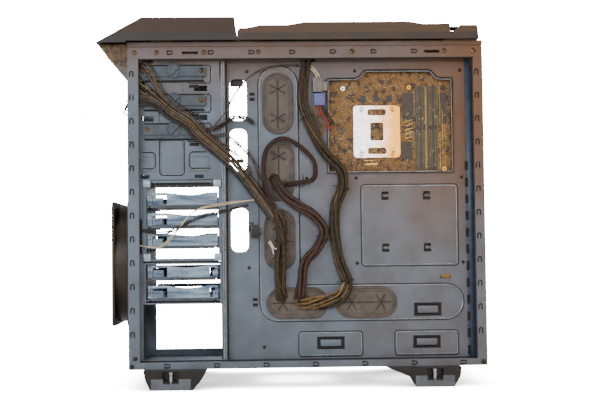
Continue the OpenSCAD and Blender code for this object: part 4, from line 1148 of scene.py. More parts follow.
@dataclass
class Beads:
    """The painted shade line at the foot of each pressed edge and the painted highlight line along its rim.

    Attributes:
        foot_r: the radius of the painted shade line, in mm.
        rim_r: the radius of the painted highlight line.
    """

    foot_r: float = 0.95
    rim_r: float = 0.7

    def outlines(self) -> list[tuple[Outline, float, bool]]:
        """Each pressed edge: its outline, how far in its rim lies, and whether it is closed.

        Returns:
            The edges of the tray.
        """
        lane = [
            *rounded(188, 65, 485, 117, 25.5)[:6],
            *[(252, 117), (248, 118.5), (246.4, 122)],
            *[(246, 411)],
            *rounded(188, 65, 246, 437, 26)[:12],
            *rounded(188, 65, 485, 117, 26)[12:],
        ]
        window = [
            (289, 280), (473, 280), (473, 414), (471, 418), (455, 418.5), (449, 421), (442, 429),
            (437, 430.5), (348, 430.5), (343, 429), (336, 421), (330, 418.5), (292, 418.5), (289, 416),
        ]
        return [
            (lane, -1.6, True),
            (window, -1.5, True),
            (rounded(337, 144, 478, 262, 5), -1.5, True),
            (rounded(244, 14, 336, 49, 4), -1.5, True),
            (rounded(384, 14, 476, 49, 4), -1.5, True),
        ]

    def bays(self) -> list[Outline]:
        """The open outlines pressed in the wall of the drive bays.

        Returns:
            The outlines.
        """
        lines = []
        lock = [(112, 9), (117, 9), (119.5, 6.5), (119.5, -15), (117, -17.5), (88, -17.5), (85, -15.5)]
        for top in LOCK_ROWS:
            lines.append([(u, top + rise) for u, rise in lock])
        lines.append([(45, 328), (45, 282), (48, 278.5), (77, 278.5), (80, 282), (80, 328)])
        lines.append([(20, 312), (35, 312), (38.5, 309), (38.5, 291), (35, 288), (20, 288)])
        lines.append([(118, 288), (91, 288), (87.5, 291), (87.5, 309), (91, 312), (112, 312)])
        return lines

    def around(self, outline: Outline, inset: float, lift: float, closed: bool) -> list[Vector]:
        """Lays an outline on the steel.

        Args:
            outline: its places in the side view.
            inset: how far outwards to move it.
            lift: how far off the surface.
            closed: whether it ends where it starts.

        Returns:
            Its points in metres.
        """
        n = len(outline)
        points = []
        for i, (u, v) in enumerate(outline):
            before = outline[i - 1 if closed or i else i]
            after = outline[(i + 1) % n if closed or i < n - 1 else i]
            way = Vector((after[0] - before[0], after[1] - before[1])).normalized()
            spot = (u + way.y * inset, v - way.x * inset)
            near = SKIN.x(u + way.y * 0.9, v - way.x * 0.9)
            if lift > 0.3:
                inside = SKIN.x(u - way.y * 1.8, v + way.x * 1.8)
                outside = SKIN.x(u + way.y * 2.4, v - way.x * 2.4)
                near = max(near, inside, outside)
            points.append(SIDE.at(near + lift, *spot))
        return [*points, points[0]] if closed else points

    def build(self) -> None:
        """Builds the painted shade and painted highlight lines of every pressed edge, and the painted shade
        along the lock bars, in the windows beside them, along the divider and along the rails.
        """
        foot, rim = Shape("bead_foot_lines"), Shape("bead_rim_lines")
        for outline, inset, closed in self.outlines():
            foot.tube(self.around(outline, 0.3, 0.1, closed), self.foot_r, 6)
            rim.tube(self.around(outline, inset, 0.45, closed), self.rim_r, 6)
        for outline in self.bays():
            foot.tube(self.around(outline, 0.0, 0.1, False), self.foot_r, 6)
            rim.tube(self.around(outline, -1.3, 0.1, False), self.rim_r * 0.8, 6)
        # Painted shade along the upper and lower edges of each lock bar, and in the windows beside it.
        for top in LOCK_ROWS:
            for v in (top + 8.4, top - 14.6):
                foot.tube([SIDE.at(SIDE.tray + 12.6, u, v) for u in (23, 110)], 1.2, 6)
            foot.block((95.2, 96.7), (22, 36), (top + 12, top + 16.5))
            foot.block((95.2, 96.7), (88, 101), (top - 24, top - 19.5))
        # Painted shade along the sides of the divider channel.
        for u in (132.8, 141.5):
            foot.tube([SIDE.at(SKIN.x(u, v), u, v) for v in (12, 444)], self.foot_r, 6)
        # Painted highlights along the edges of the divider channel.
        for u in (136.0, 138.4):
            rim.tube([SIDE.at(SIDE.tray + 13.2, u, v) for v in (12, 444)], self.rim_r, 6)
        # Painted shade along the creases of the bottom and top rails.
        for v, over in ((10.6, 1.5), (445.0, 2)):
            foot.tube([SIDE.at(SKIN.x(20, v + over), u, v) for u in (17, 499)], self.foot_r, 6)
        dress(foot.piece(PAINTED_SHADE), "grey_steel")
        dress(rim.piece(BEAD_HIGHLIGHT), "grey_steel")


@dataclass
class Flanges:
    """The folded edges that show between the sheets.

    Attributes:
        divider: the two sides of the channel between the bays and the tray, as u.
        rear: the two sides of the zinc flange inside the rear post, as u.
    """

    divider: tuple[float, float] = (133.2, 141.0)
    rear: tuple[float, float] = (491.5, 495.0)

    def build(self) -> None:
        """Builds the divider channel, and the slotted flange inside the rear post, with painted shade in its
        slots.
        """
        low, high = self.divider
        channel = Shape("divider_channel")
        base = SIDE.tray + 12.0
        channel.block((SIDE.tray + 1, base), (low + 0.6, low + 1.6), (11, 445.5))
        channel.block((SIDE.tray + 1, base), (high - 1.6, high - 0.6), (11, 445.5))
        channel.block((base - 1, base + 0.6), (low + 0.6, high - 0.6), (11, 445.5))
        dress(channel.piece(GREY_STEEL, 0.4), "grey_steel")
        first, last = self.rear
        flange, notches = Shape("rear_flange"), Shape("rear_flange_notches")
        flange.block((86.4, 87.6), (first, last + 8.5), (4, 452))
        # Painted shade in the flange's slots.
        for i in range(12):
            v = 14 + i * 24.4
            notches.block((86.4, 87.9), (first - 1.5, first + 2.6), (v, v + 13))
        dress(notches.piece(PAINTED_SHADE), "grey_steel")
        dress(flange.piece(BLUE_ZINC, 0.3), "grey_steel")


# --- lanced hooks and screws ---


@dataclass
class Hooks:
    """The lanced tabs that the side panels hook on: painted shade in the slot round three sides of each
    tongue.

    Attributes:
        width: how wide a tongue is, in mm.
        length: how long it is.
    """

    width: float = 5.0
    length: float = 7.0

    def tongue(self) -> Piece:
        """One slot's painted shade, as a bent bar open downwards, round the origin.

        Returns:
            The slot.
        """
        made = Shape("hook_copy")
        half, foot, bend = self.width / 2, -self.length * 0.6, self.length * 0.22
        arch = [(half * math.sin(a), bend + half * math.cos(a)) for a in (-0.8, 0.0, 0.8)]
        line = [(-half, foot), (-half, bend), *arch, (half, bend), (half, foot)]
        made.tube([Vector((0, y, z)) * MM for y, z in line], 0.85, 6)
        return made.piece(PAINTED_SHADE)

    def build(self) -> None:
        """Sets one slot on every hook of the posts and rails, both sides of the case."""
        places, turns = [], []
        for u in (6.0, 505.0):
            for i in range(12):
                places.append((u, 50 + 34 * i, 0.0))
        for u in (55, 125.7, 196.3, 267, 337.7, 408.4, 479):
            places.append((u, 5, 90.0))
        for i in range(7):
            places.append((61 + 59 * i, 455, 90.0))
        points = []
        for u, v, angle in places:
            out = SKIN.x(u - 4.2, v) if angle == 0 else SKIN.x(u, v + 4.4)
            for side in (1, -1):
                points.append(Vector((side * (out + 0.05) * MM, *SIDE.at(0, u, v)[1:])))
                turns.append((math.radians(-angle), 0.0, 0.0))
        made = REPEAT.lay("hook_slots", self.tongue(), PAINTED_SHADE, points, turns)
        dress(made, "grey_steel")


@dataclass
class Screws:
    """Cross-headed screws of the frame, the locks and the board.

    Attributes:
        head_r: the radius of a head, in mm.
    """

    head_r: float = 3.6

    def head(self, radius: float) -> Piece:
        """One pan head that points along +X, round the origin; its cross recess is painted shade laid on top.

        Args:
            radius: its radius, in mm.

        Returns:
            The head.
        """
        shape = Shape("screw_copy")
        dome = [(0, 0), (radius, 0), (radius, 0.9), (radius * 0.82, 1.7), (radius * 0.45, 2.1), (0, 2.2)]
        shape.turned(dome, Vector((0, 0, 0)), Axis.ACROSS, 14)
        return shape.piece(BRASS)

    def cross(self, radius: float) -> Piece:
        """The painted shade of a cross recess, round the origin.

        Args:
            radius: the radius of its head, in mm.

        Returns:
            The cross.
        """
        shape = Shape("cross_copy")
        arm, half, top = radius * 0.62 * MM, radius * 0.13 * MM, 2.32 * MM
        for a in (0.6, 0.6 + math.pi / 2):
            along = Vector((0, math.cos(a), math.sin(a)))
            side = Vector((0, -math.sin(a), math.cos(a)))
            corners = [along * arm * i + side * half * j for i, j in ((1, 1), (-1, 1), (-1, -1), (1, -1))]
            low = [c + Vector((top - 0.9 * MM, 0, 0)) for c in corners]
            high = [c + Vector((top, 0, 0)) for c in corners]
            shape.between(low, high)
        return shape.piece(PAINTED_SHADE)

    def lay(self, name: str, finish: Finish, spots: Route, radius: float, *nodes: str) -> None:
        """Sets screws on places given as x, u and v in mm.

        Args:
            name: the name of the piece.
            finish: the screws' finish.
            spots: where each head lies.
            radius: the radius of a head.
            *nodes: CAD nodes that they replace.
        """
        points = [SIDE.at(*spot) for spot in spots]
        dress(REPEAT.lay(name, self.head(radius), finish, points), "brass", *nodes)
        dress(REPEAT.lay(name + "_recess", self.cross(radius), PAINTED_SHADE, points), "brass")

    def build(self) -> None:
        """Places every screw."""
        rail = [(u, 455) for u in (10, 42, 110.5, 189, 325, 459, 501.5)]
        locks = [(u, v) for v in LOCK_ROWS for u in (27.5, 106.5)]
        corners = [(9.5, 16), (4.5, 4.5), (508, 5)]
        bright = [(SKIN.x(u + 4.6, v) - (0.0 if (u, v) in locks else 0.2), u, v) for u, v in rail + locks]
        self.lay("screws_bright", BRASS, bright, self.head_r, "chassis_screws")
        self.lay("screws_corner", DARK_SCREW, [(SKIN.x(u + 4.2, v + 1.0), u, v) for u, v in corners], 3.4)
        tray = [(172, 430), (172, 273), (172.5, 143), (193.5, 28), (493, 55), (330.1, 430), (485, 430)]
        tray += [(u, v) for v in (272.5, 148.1) for u in (330.1, 485)]
        tray += [(257.7, v) for v in (430, 272.5, 148.1)]
        self.lay("screws_tray", DARK_SCREW, [(SKIN.x(u + 4.5, v) - 0.9, u, v) for u, v in tray], 2.5)
        mirrored = [(-x, u, v) for x, u, v in bright if v > 440]
        points = [SIDE.at(*spot) for spot in mirrored]
        turned = [(0.0, 0.0, math.pi)] * len(points)
        dress(REPEAT.lay("screws_far", self.head(self.head_r), BRASS, points, turned), "brass")


# --- grommets ---


@dataclass
class Grommets:
    """Moulded rubber grommets whose flaps meet along a slit that ends in two six-rayed stars.

    Attributes:
        length: the outer length, in mm.
        width: the outer width.
        star: how far each star's middle is from the grommet's middle.
    """

    length: float = 88.0
    width: float = 43.0
    star: float = 21.0
    places: tuple[tuple[float, float, bool], ...] = (
        (216.5, 382.5, True), (217.0, 284.5, True), (217.5, 183.0, True),
        (242.0, 91.3, False), (342.3, 91.3, False),
    )

    def local(self, spot: tuple[float, float, bool], along: float, across: float) -> tuple[float, float]:
        """A place on one grommet as u and v."""
        return (spot[0] + across, spot[1] + along) if spot[2] else (spot[0] + along, spot[1] + across)

    def oval(self, spot: tuple[float, float, bool], inset: float, steps: int = 12) -> Outline:
        """The outline of one grommet, drawn in by the given amount.

        Args:
            spot: the grommet's middle, and whether it stands upright.
            inset: how far to draw it in, in mm.
            steps: how many pieces each round end has.

        Returns:
            The outline.
        """
        r = self.width / 2 - inset
        half = self.length / 2 - self.width / 2
        ends = []
        for side in (1, -1):
            for k in range(steps + 1):
                a = math.pi * k / steps - math.pi / 2
                ends.append(self.local(spot, side * (half + r * math.cos(a)), side * r * math.sin(a)))
        return ends

    def build(self) -> None:
        """Builds every grommet: lip, web, painted shade in the flaps' slits and the raised edge of each flap.
        """
        rubber, slits = Shape("grommet_rubber"), Shape("grommet_slits")
        web = SIDE.tray + 3.2
        lip = SIDE.tray + 3.9
        for spot in self.places:
            outline = self.oval(spot, -1.4)
            rubber.plate(outline[::-1] if spot[2] else outline, SIDE.tray + 1.8, web)
            ring = [SIDE.at(lip, u, v) for u, v in self.oval(spot, 0.3)]
            rubber.tube([*ring, ring[0]], 1.5, 8)
            inner = [SIDE.at(web + 0.1, u, v) for u, v in self.oval(spot, 5.2)]
            rubber.tube([*inner, inner[0]], 0.5, 6)
            cuts = [((-self.star, 0.0), (self.star, 0.0))]
            for end in (-1, 1):
                for a in (60, 120, 180 if end < 0 else 0, 240, 300):
                    way = (math.cos(math.radians(a)), math.sin(math.radians(a)))
                    reach = 12.5 if a in (60, 120, 240, 300) else 15.0
                    tip = (end * self.star + way[0] * reach, way[1] * reach)
                    cuts.append(((end * self.star, 0.0), tip))
            for (a0, b0), (a1, b1) in cuts:
                line = [SIDE.at(web + 0.05, *self.local(spot, a, b)) for a, b in ((a0, b0), (a1, b1))]
                # Painted shade in the slit.
                slits.tube(line, 0.42, 5)
                for s in (-0.85, 0.85):
                    way = Vector((a1 - a0, b1 - b0)).normalized()
                    shift = (-way.y * s, way.x * s)
                    edge = []
                    for a, b, t in ((a0, b0, 1.6), (a1, b1, 0.0)):
                        at = self.local(spot, a + shift[0] + way.x * t, b + shift[1] + way.y * t)
                        edge.append(SIDE.at(web + 0.1, *at))
                    rubber.tube(edge, 0.45, 5)
        dress(rubber.piece(RUBBER), "rubber", "grommets")
        dress(slits.piece(PAINTED_SHADE), "rubber")


# --- the back of the motherboard ---


def chip(out: float, wide: float, high: float) -> Piece:
    """Makes one small chip that stands on a board at the origin.

    Args:
        out: how far it stands along +X in mm, or along -X where it is negative.
        wide: its size along Y.
        high: its size along Z.

    Returns:
        The chip.
    """
    ring = [(b * wide / 2, c * high / 2) for b, c in ((-1, -1), (1, -1), (1, 1), (-1, 1))]
    foot, top = ([Vector((x, y, z)) * MM for y, z in ring] for x in (0, out))
    return Shape("chip_copy").between(foot, top).piece(CHIP)


@dataclass
class BoardBack:
    """What stands on the solder side of the motherboard, inside the tray's window.

    Attributes:
        low: the window's front lower corner, as u and v.
        high: its rear upper corner.
        seed: fixes where the small parts lie.
    """

    low: tuple[float, float] = (293.0, 284.0)
    high: tuple[float, float] = (469.0, 414.0)
    seed: int = 5

    def face(self) -> float:
        """The board's solder side, as x."""
        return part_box("motherboard_pcb")[1].x / MM

    def dome(self, radius: float) -> Piece:
        """One solder point, round the origin.

        Args:
            radius: its radius, in mm.

        Returns:
            The point.
        """
        shape = Shape("dome_copy")
        profile = [(0, 0), (radius, 0), (radius * 0.55, 0.55), (0, 0.8)]
        shape.turned(profile, Vector((0, 0, 0)), Axis.ACROSS, 6)
        return shape.piece(TIN)

    def clear(self, u: float, v: float) -> bool:
        """Whether a place is clear of the support plate.

        Args:
            u: how far back from the frame's front, in mm.
            v: how far up from its bottom.

        Returns:
            True where small parts may lie.
        """
        lo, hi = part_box("cpu_backplate")
        at = SIDE.at(0, u, v)
        return not (lo.y - 0.002 < at.y < hi.y + 0.002 and lo.z - 0.002 < at.z < hi.z + 0.002)

    def lay(self, name: str, copy: Piece, finish: Finish, spots: Outline) -> None:
        """Sets copies on the solder side.

        Args:
            name: the name of the piece.
            copy: what repeats.
            finish: its finish.
            spots: where, as u and v.
        """
        points = [SIDE.at(self.face(), u, v) for u, v in spots if self.clear(u, v)]
        dress(REPEAT.lay(name, copy, finish, points), "board")

    def rows(self) -> tuple[Outline, Outline]:
        """The pins of the memory sockets in two bands, and other rows of pins.

        Returns:
            The places of the bands, and those of the other rows.
        """
        bands, others = [], []
        for u0 in (421.0, 429.5, 439.5, 448.0):
            for k in range(62):
                v = 286.5 + k * 2.0
                if 343 < v < 349:
                    continue
                bands += [(u0 + (k % 2) * 1.0, v), (u0 + 3.0 + (k % 2) * 1.0, v)]
        for k in range(12):
            others += [(345 + k * 4.6, 424.0), (345 + k * 4.6, 420.0)]
        for k in range(20):
            others += [(298.5, 300 + k * 4.2), (466.0, 300 + k * 4.6)]
        for k in range(14):
            others += [(334 + k * 4.2, 286.5), (303 + k * 2.6, 402 - k * 2.6)]
        return bands, others

    def build(self) -> None:
        """Builds solder points, chips, headers, bus bars and the plate's screws."""
        rng = random.Random(self.seed)
        bands, others = self.rows()
        scattered = [(rng.uniform(self.low[0], 418), rng.uniform(self.low[1], 426)) for _ in range(900)]
        scattered = [(u, v) for u, v in scattered if v < self.high[1] or 342 < u < 440]
        self.lay("solder_bands", self.dome(0.85), OLIVE_TIN, bands)
        self.lay("solder_rows", self.dome(0.95), TIN, others)
        self.lay("solder_points", self.dome(0.55), TIN, scattered[:520])
        self.lay("solder_vias", self.dome(0.4), OLIVE_TIN, scattered[520:])
        large = [(342.5, 389.5), (361.5, 390), (380.5, 389.5)]
        self.lay("chips_large", chip(1.2, 8.2, 9.0), CHIP, large)
        small = [(rng.uniform(296, 466), rng.uniform(288, 412)) for _ in range(46)]
        self.lay("chips_small", chip(0.9, 3.4, 2.2), CHIP, small)
        tan = [(rng.uniform(296, 466), rng.uniform(288, 412)) for _ in range(70)]
        self.lay("chips_tan", chip(0.8, 2.2, 1.2), OLIVE_TIN, tan)
        bars = Shape("bus_bars")
        x = self.face()
        for u0, u1, v0, v1 in ((343, 356, 297.5, 299.2), (344, 363, 291.6, 294.6), (433.9, 434.7, 288, 342),
                               (433.9, 434.7, 350, 404), (435.6, 436.2, 292, 398), (455, 455.8, 286, 340),
                               (459, 459.7, 300, 372), (462.5, 463.1, 290, 350), (455.4, 456.0, 350, 408)):
            bars.block((x, x + 0.35), (u0, u1), (v0, v1))
        for k in range(5):
            v = 330 + k * 6.2
            bars.plate([(404, v), (415, v + 3.0), (415, v + 4.3), (404, v + 1.3)], x, x + 0.3)
        dress(bars.piece(TIN), "board")
        shade = Shape("solder_mask_patches")
        patches = (
            (400, 417, 356, 398), (419, 433, 284, 409), (436.5, 452, 284, 409), (453.5, 466, 352, 398),
            (398, 414, 300, 326),
        )
        for u0, u1, v0, v1 in patches:
            shade.plate(rounded(u0, v0, u1, v1, 3), x, x + 0.12)
        dress(shade.piece(DARK_MASK), "board")
        screws = Shape("board_standoff_nuts")
        for u, v in ((312.6, 405.0), (410.0, 406.0), (461.0, 285.5)):
            at = SIDE.at(x, u, v)
            nut = [(1.1, 0), (3.5, 0), (3.5, 1.2), (3.0, 1.7), (1.3, 1.7), (1.1, 0)]
            screws.turned(nut, at, Axis.ACROSS, 16)
        dress(screws.piece(BACKPLATE), "backplate")
        header = Shape("board_power_header")
        header.block((x, x + 2.2), (352, 398), (428.5, 433.5))
        dress(header.piece(SOCKET_PLASTIC, 0.3), "socket_plastic")
        rivets = Shape("plate_screws")
        lo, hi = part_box("cpu_backplate")
        mid_u = (lo.y + hi.y) / 2 / MM - SIDE.front
        mid_v = (lo.z + hi.z) / 2 / MM - SIDE.bottom
        head = [(0, 0), (3.3, 0), (3.3, 0.7), (2.5, 1.2), (1.6, 1.2), (1.3, 0.5), (0, 0.5)]
        for su in (-1, 1):
            for sv in (-1, 1):
                at = SIDE.at(hi.x / MM - 0.2, mid_u + su * 22.5, mid_v + sv * 33)
                rivets.turned(head, at, Axis.ACROSS, 16)
        dress(rivets.piece(BACKPLATE), "backplate")


# --- drive trays ---


@dataclass
class TrayEnds:
    """The end walls of the drive trays as they show on the cable side.

    Attributes:
        height: how high an end wall stands, in mm.
        dip: how far its upper edge sinks in the middle.
    """

    height: float = 19.8
    dip: float = 3.4

    def end(self, number: int, low: bool) -> None:
        """Builds one end wall.

        Args:
            number: the tray's number.
            low: whether it is one of the two in the lower cage, whose end is cut at both sides.
        """
        box_low, box_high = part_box(f"hdd_tray_{number}")
        x = box_high.x / MM + 0.15
        u0, u1 = box_low.y / MM - SIDE.front + 2, box_high.y / MM - SIDE.front - 2
        v = box_low.z / MM - SIDE.bottom
        shape = Shape(f"tray_end_{number}")
        top = v + self.height
        right = u1 - 12 if low else u1
        start, span = u0 + 28, right - (u0 + 28)
        sag = [self.dip * math.sin(math.pi * k / 14) ** 1.3 for k in range(15)]
        curve = [(right - span * k / 14, top - drop) for k, drop in enumerate(sag)]
        shape.plate([(start, v), (right, v), *curve], x, x + 1.6)
        latch = [(u0 + 5, v + 16.2), (start, v + 16.2), (start, top), (u0 + 9, top), (u0 + 5, top - 2)]
        shape.plate(latch, x, x + 1.6)
        shape.block((x, x + 1.4), (u0, u0 + 7), (v, v + 15.5))
        shape.block((x + 0.4, x + 2.6), (u0 + 9, u0 + 21.5), (v + 3.0, v + 12.4))
        for k in range(3):
            shape.block((x + 2.2, x + 3.2), (u0 + 11 + 3.6 * k, u0 + 12.4 + 3.6 * k), (v + 4, v + 11.4))
        if low:
            corner = [(right, v + 16.2), (u1 - 2, v + 16.2), (u1 - 2, top - 0.6), (right, top)]
            shape.plate(corner, x, x + 1.6)
            shape.block((x, x + 1.6), (u1 - 7.6, u1 - 0.5), (v + 3, v + 12.2))
            shape.block((x, x + 1.6), (right, u1 - 0.5), (v, v + 2.8))
        dress(shape.piece(TRAY_PLASTIC, 0.35), "tray_blue", body=f"drive_tray_{number}")
        base = Shape(f"tray_lip_{number}")
        base.block((x - 0.4, x + 2.2), (u0, u1), (v, v + 2.0))
        base.block((x - 0.4, x + 2.2), (u0 + 4.5, u1 - 4.5), (v - 2.4, v))
        dress(base.piece(LOCK_PLASTIC, 0.4), "tray_blue", body=f"drive_tray_{number}")

    def build(self) -> None:
        """Builds the five end walls."""
        for number in range(1, 6):
            self.end(number, number > 3)


# --- small steel parts ---


@dataclass
class Bridges:
    """The strips that bridge the tie slots of the tray, and painted shade in the openings beside them."""

    def build(self) -> None:
        """Builds the three wide bridges, the four small ones and the two clips."""
        steel, dark = Shape("tie_bridges"), Shape("tie_bridge_gaps")
        for u, v, h in ((290, 33, 6.4), (430, 33, 6.4), (432, 80, 6.8)):
            x = SKIN.x(u, v + 11)
            # Painted shade: a dark plate behind each opening and dark strips at its ends and edges.
            dark.block((SIDE.tray - 0.6, SIDE.tray + 0.4), (u - 21, u + 21), (v - 9, v + 9))
            steel.block((x, x + 1.8), (u - 15, u + 15), (v - h + 1.6, v + h - 1.6))
            for s in (-1, 1):
                end, edge = u + s * 17.5, v + s * (h + 0.8)
                dark.block((x - 0.1, x + 0.12), (end - 2.4, end + 2.4), (v - h - 1.2, v + h + 1.2))
                dark.block((x - 0.1, x + 0.3), (u - 20, u + 20), (edge - 1.1, edge + 1.1))
        for u in (372, 433):
            for v in (170, 246):
                x = SKIN.x(u, v)
                steel.block((x, x + 1.4), (u - 3.4, u + 3.4), (v - 1.6, v + 1.6))
                dark.block((x - 0.1, x + 0.15), (u - 5.4, u + 5.4), (v - 5.8, v - 2.0))
                dark.block((x - 0.1, x + 0.15), (u - 5.4, u - 3.6), (v - 3, v + 3))
        for u, v in ((179, 393), (181, 93)):
            x = SKIN.x(u, v)
            dark.block((x - 0.1, x + 0.2), (u - 3.6, u + 3.6), (v - 6, v + 6))
            steel.block((x, x + 1.6), (u - 4.2, u + 4.2), (v - 1.8, v + 1.8))
        dress(steel.piece(GREY_STEEL, 0.4), "grey_steel")
        dress(dark.piece(PAINTED_SHADE), "grey_steel")
        clip = Shape("brass_clip")
        x = SKIN.x(470, 140)
        clip.block((x, x + 1.6), (451, 466), (124, 130.5))
        clip.block((x + 1.6, x + 3.0), (456, 458.5), (125, 129.5))
        dress(clip.piece(BRASS, 0.4), "brass")


@dataclass
class CageCorners:
    """The pale blocks at the corners of the upper drive cage and the stops beside its trays."""

    def build(self) -> None:
        """Builds the corner blocks and the stops."""
        blocks = Shape("cage_corner_blocks")
        for u in (20.5, 122.5):
            for v in (261.0, 154.5):
                x = SKIN.x(u + 5, v + 5)
                blocks.block((x, x + 1.2), (u, u + 10.5), (v, v + 10.5))
                blocks.block((x + 1.2, x + 2.0), (u + 2.5, u + 8), (v + 2.5, v + 8))
        dress(blocks.piece(PALE_ZINC, 0.4), "grey_steel")
        stops = Shape("cage_stops")
        for v in (234, 204.4, 174.8, 129, 99.4):
            stops.block((89, 93.5), (20.5, 25), (v + 1, v + 12))
            stops.block((89, 93), (20.5, 24), (v + 15, v + 19))
            stops.block((88, 92.5), (129, 132.4), (v + 2, v + 9))
        dress(stops.piece(BLACK_STEEL, 0.4), "black_steel")
        bars = Shape("cage_dark_bars")
        for x, u, v in (
            ((86, 90), (31, 122), (261.5, 264.1)),
            ((84, 88), (38, 116), (264.9, 267.9)),
            ((86, 90), (26, 128), (150.4, 158.0)),
            ((86, 88), (13.4, 20), (12, 446)),
            ((78, 79.5), (147, 166), (409, 421)),
        ):
            bars.block(x, u, v)
        dress(bars.piece(BLACK_STEEL, 0.4), "grey_steel")


@dataclass
class FootPins:
    """The bright turned pins of the feet."""

    def build(self) -> None:
        """Builds a pin on each side of each foot."""
        pins = Shape("foot_pins")
        lo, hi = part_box("foot_plates")
        pin = [(0, 0), (3.6, 0), (3.6, 2), (3.0, 2.6), (3.0, 12), (3.6, 12.6), (3.6, 16.4), (0, 16.4)]
        for side in (1, -1):
            for u in (61.0, 436.0):
                at = Vector((side * (hi.x / MM - 5.0), SIDE.front + u, lo.z / MM + 9.0)) * MM
                pins.turned(pin, at, Axis.UP, 20)
        dress(pins.piece(PIN_METAL), "foot_metal")


# --- fans ---


@dataclass
class Rotor:
    """A fan's hub with swept, cambered blades.

    Attributes:
        node: the CAD node that it replaces, which is also the body it rides on.
        count: how many blades it has.
        way: the way that its axle points.
        finish: the blades' finish.
    """

    node: str
    count: int
    way: Axis
    finish: Finish

    def blade(self, hub: float, tip: float, depth: float) -> Piece:
        """One blade along +X, round the origin.

        Args:
            hub: the hub's radius, in mm.
            tip: the tip's radius.
            depth: how deep the fan is.

        Returns:
            The blade.
        """
        shape = Shape("blade_copy")
        rows, cols = 7, 6
        layers = []
        for lift in (-0.5, 0.5):
            grid = []
            for i in range(rows):
                f = i / (rows - 1)
                radius = hub - 1 + (tip - hub + 1) * f
                chord = (tip * 0.55) * (0.62 + 0.38 * f)
                pitch = math.radians(48 - 20 * f)
                sweep = 0.42 * f * f
                for j in range(cols):
                    c = j / (cols - 1) - 0.5
                    arc = chord * math.cos(pitch) * c / max(radius, 1)
                    up = depth * 0.42 * 2 * c * math.sin(pitch) / math.sin(math.radians(48))
                    camber = 2.2 * (0.25 - c * c)
                    a = arc + sweep
                    grid.append(Vector((radius * math.cos(a), radius * math.sin(a), up + camber + lift)) * MM)
            layers.append(grid)
        points = layers[0] + layers[1]
        n = rows * cols
        faces = []
        for i in range(rows - 1):
            for j in range(cols - 1):
                a = i * cols + j
                faces.append((a, a + cols, a + cols + 1, a + 1))
                faces.append((n + a, n + a + 1, n + a + cols + 1, n + a + cols))
        edge = [i * cols for i in range(rows)] + [(rows - 1) * cols + j for j in range(1, cols)]
        edge += [i * cols + cols - 1 for i in range(rows - 2, -1, -1)] + [j for j in range(cols - 2, 0, -1)]
        for a, b in zip(edge, edge[1:] + edge[:1]):
            faces.append((a, n + a, n + b, b))
        shape.faces(points, faces)
        return shape.piece(self.finish)

    def build(self) -> None:
        """Builds the blades and the hub, and ties both to the rotor's body."""
        lo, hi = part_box(self.node)
        axle = self.way.value @ Vector((0, 0, 1))
        size = hi - lo
        depth = abs(size.dot(axle)) / MM
        across = [size[k] for k in range(3) if abs(axle[k]) < 0.5]
        tip = max(across) / 2 / MM - 0.6
        joint = next(j for j in frame["joints"] if j["child"] == self.node)
        middle = Vector(joint["anchor"] if "anchor" in joint else joint["pos_m"])
        along = (lo + hi) / 2
        for k in range(3):
            if abs(axle[k]) > 0.5:
                middle[k] = along[k]
        hub = tip * 0.36
        turns = []
        for i in range(self.count):
            spin = self.way.value.to_4x4() @ Matrix.Rotation(math.tau * i / self.count, 4, "Z")
            turns.append(tuple(spin.to_euler()))
        name = self.node.replace("rotor", "blades")
        made = REPEAT.lay(name, self.blade(hub, tip, depth - 3), self.finish, [middle] * self.count, turns)
        dress(made, "blade_plastic", self.node, body=self.node)
        half = depth / 2 - 0.8
        cap = Shape(self.node.replace("rotor", "hub"))
        profile = [
            (0, -half), (hub * 0.9, -half), (hub, -half + 1.2), (hub, half - 2.5),
            (hub * 0.9, half - 0.6), (hub * 0.62, half), (hub * 0.6, half - 0.4), (0, half - 0.4),
        ]
        cap.turned(profile, middle, self.way, 32)
        dress(cap.piece(FAN_PLASTIC), "blade_plastic", body=self.node)


# --- the front of the motherboard ---


@dataclass
class BoardFront:
    """Capacitors, chokes and chips on the component side of the motherboard.

    Attributes:
        seed: fixes where the small parts lie.
    """

    seed: int = 3

    def can(self) -> Piece:
        """One capacitor standing along -X, round the origin.

        Returns:
            The capacitor.
        """
        shape = Shape("can_copy")
        side = [(3.1, 0), (3.1, -0.8), (2.8, -1.2), (3.1, -1.6), (3.1, -8.0), (2.7, -8.6)]
        profile = [(0, 0), *side, (0, -8.6)]
        shape.turned(profile, Vector((0, 0, 0)), Axis.ACROSS, 14)
        return shape.piece(CAN_METAL)

    def build(self) -> None:
        """Places the parts in the rows that a board has them in."""
        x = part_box("motherboard_pcb")[0].x / MM
        rng = random.Random(self.seed)
        cans = [(322 + 9 * k, 400) for k in range(9)] + [(268 + 8 * k, 262) for k in range(4)]
        cans += [(300, 150 + 9 * k) for k in range(8)] + [(420 + 9 * k, 268) for k in range(4)]
        chokes = [(322 + 12 * k, 412) for k in range(7)]
        chips = [(rng.uniform(262, 480), rng.uniform(140, 270)) for _ in range(26)]
        dots = [(rng.uniform(256, 490), rng.uniform(136, 432)) for _ in range(420)]
        for name, copy, finish, spots, slot in (
            ("capacitors", self.can(), CAN_METAL, cans, "port_metal"),
            ("chokes", chip(-6.5, 9.5, 9.5), CHIP, chokes, "socket_plastic"),
            ("board_chips", chip(-1.4, 7.0, 5.0), CHIP, chips, "socket_plastic"),
            ("board_small_parts", chip(-0.9, 2.2, 1.3), OLIVE_TIN, dots, "board"),
        ):
            points = [SIDE.at(x, u, v) for u, v in spots]
            dress(REPEAT.lay(name, copy, finish, points), slot)


# --- the wiring ---


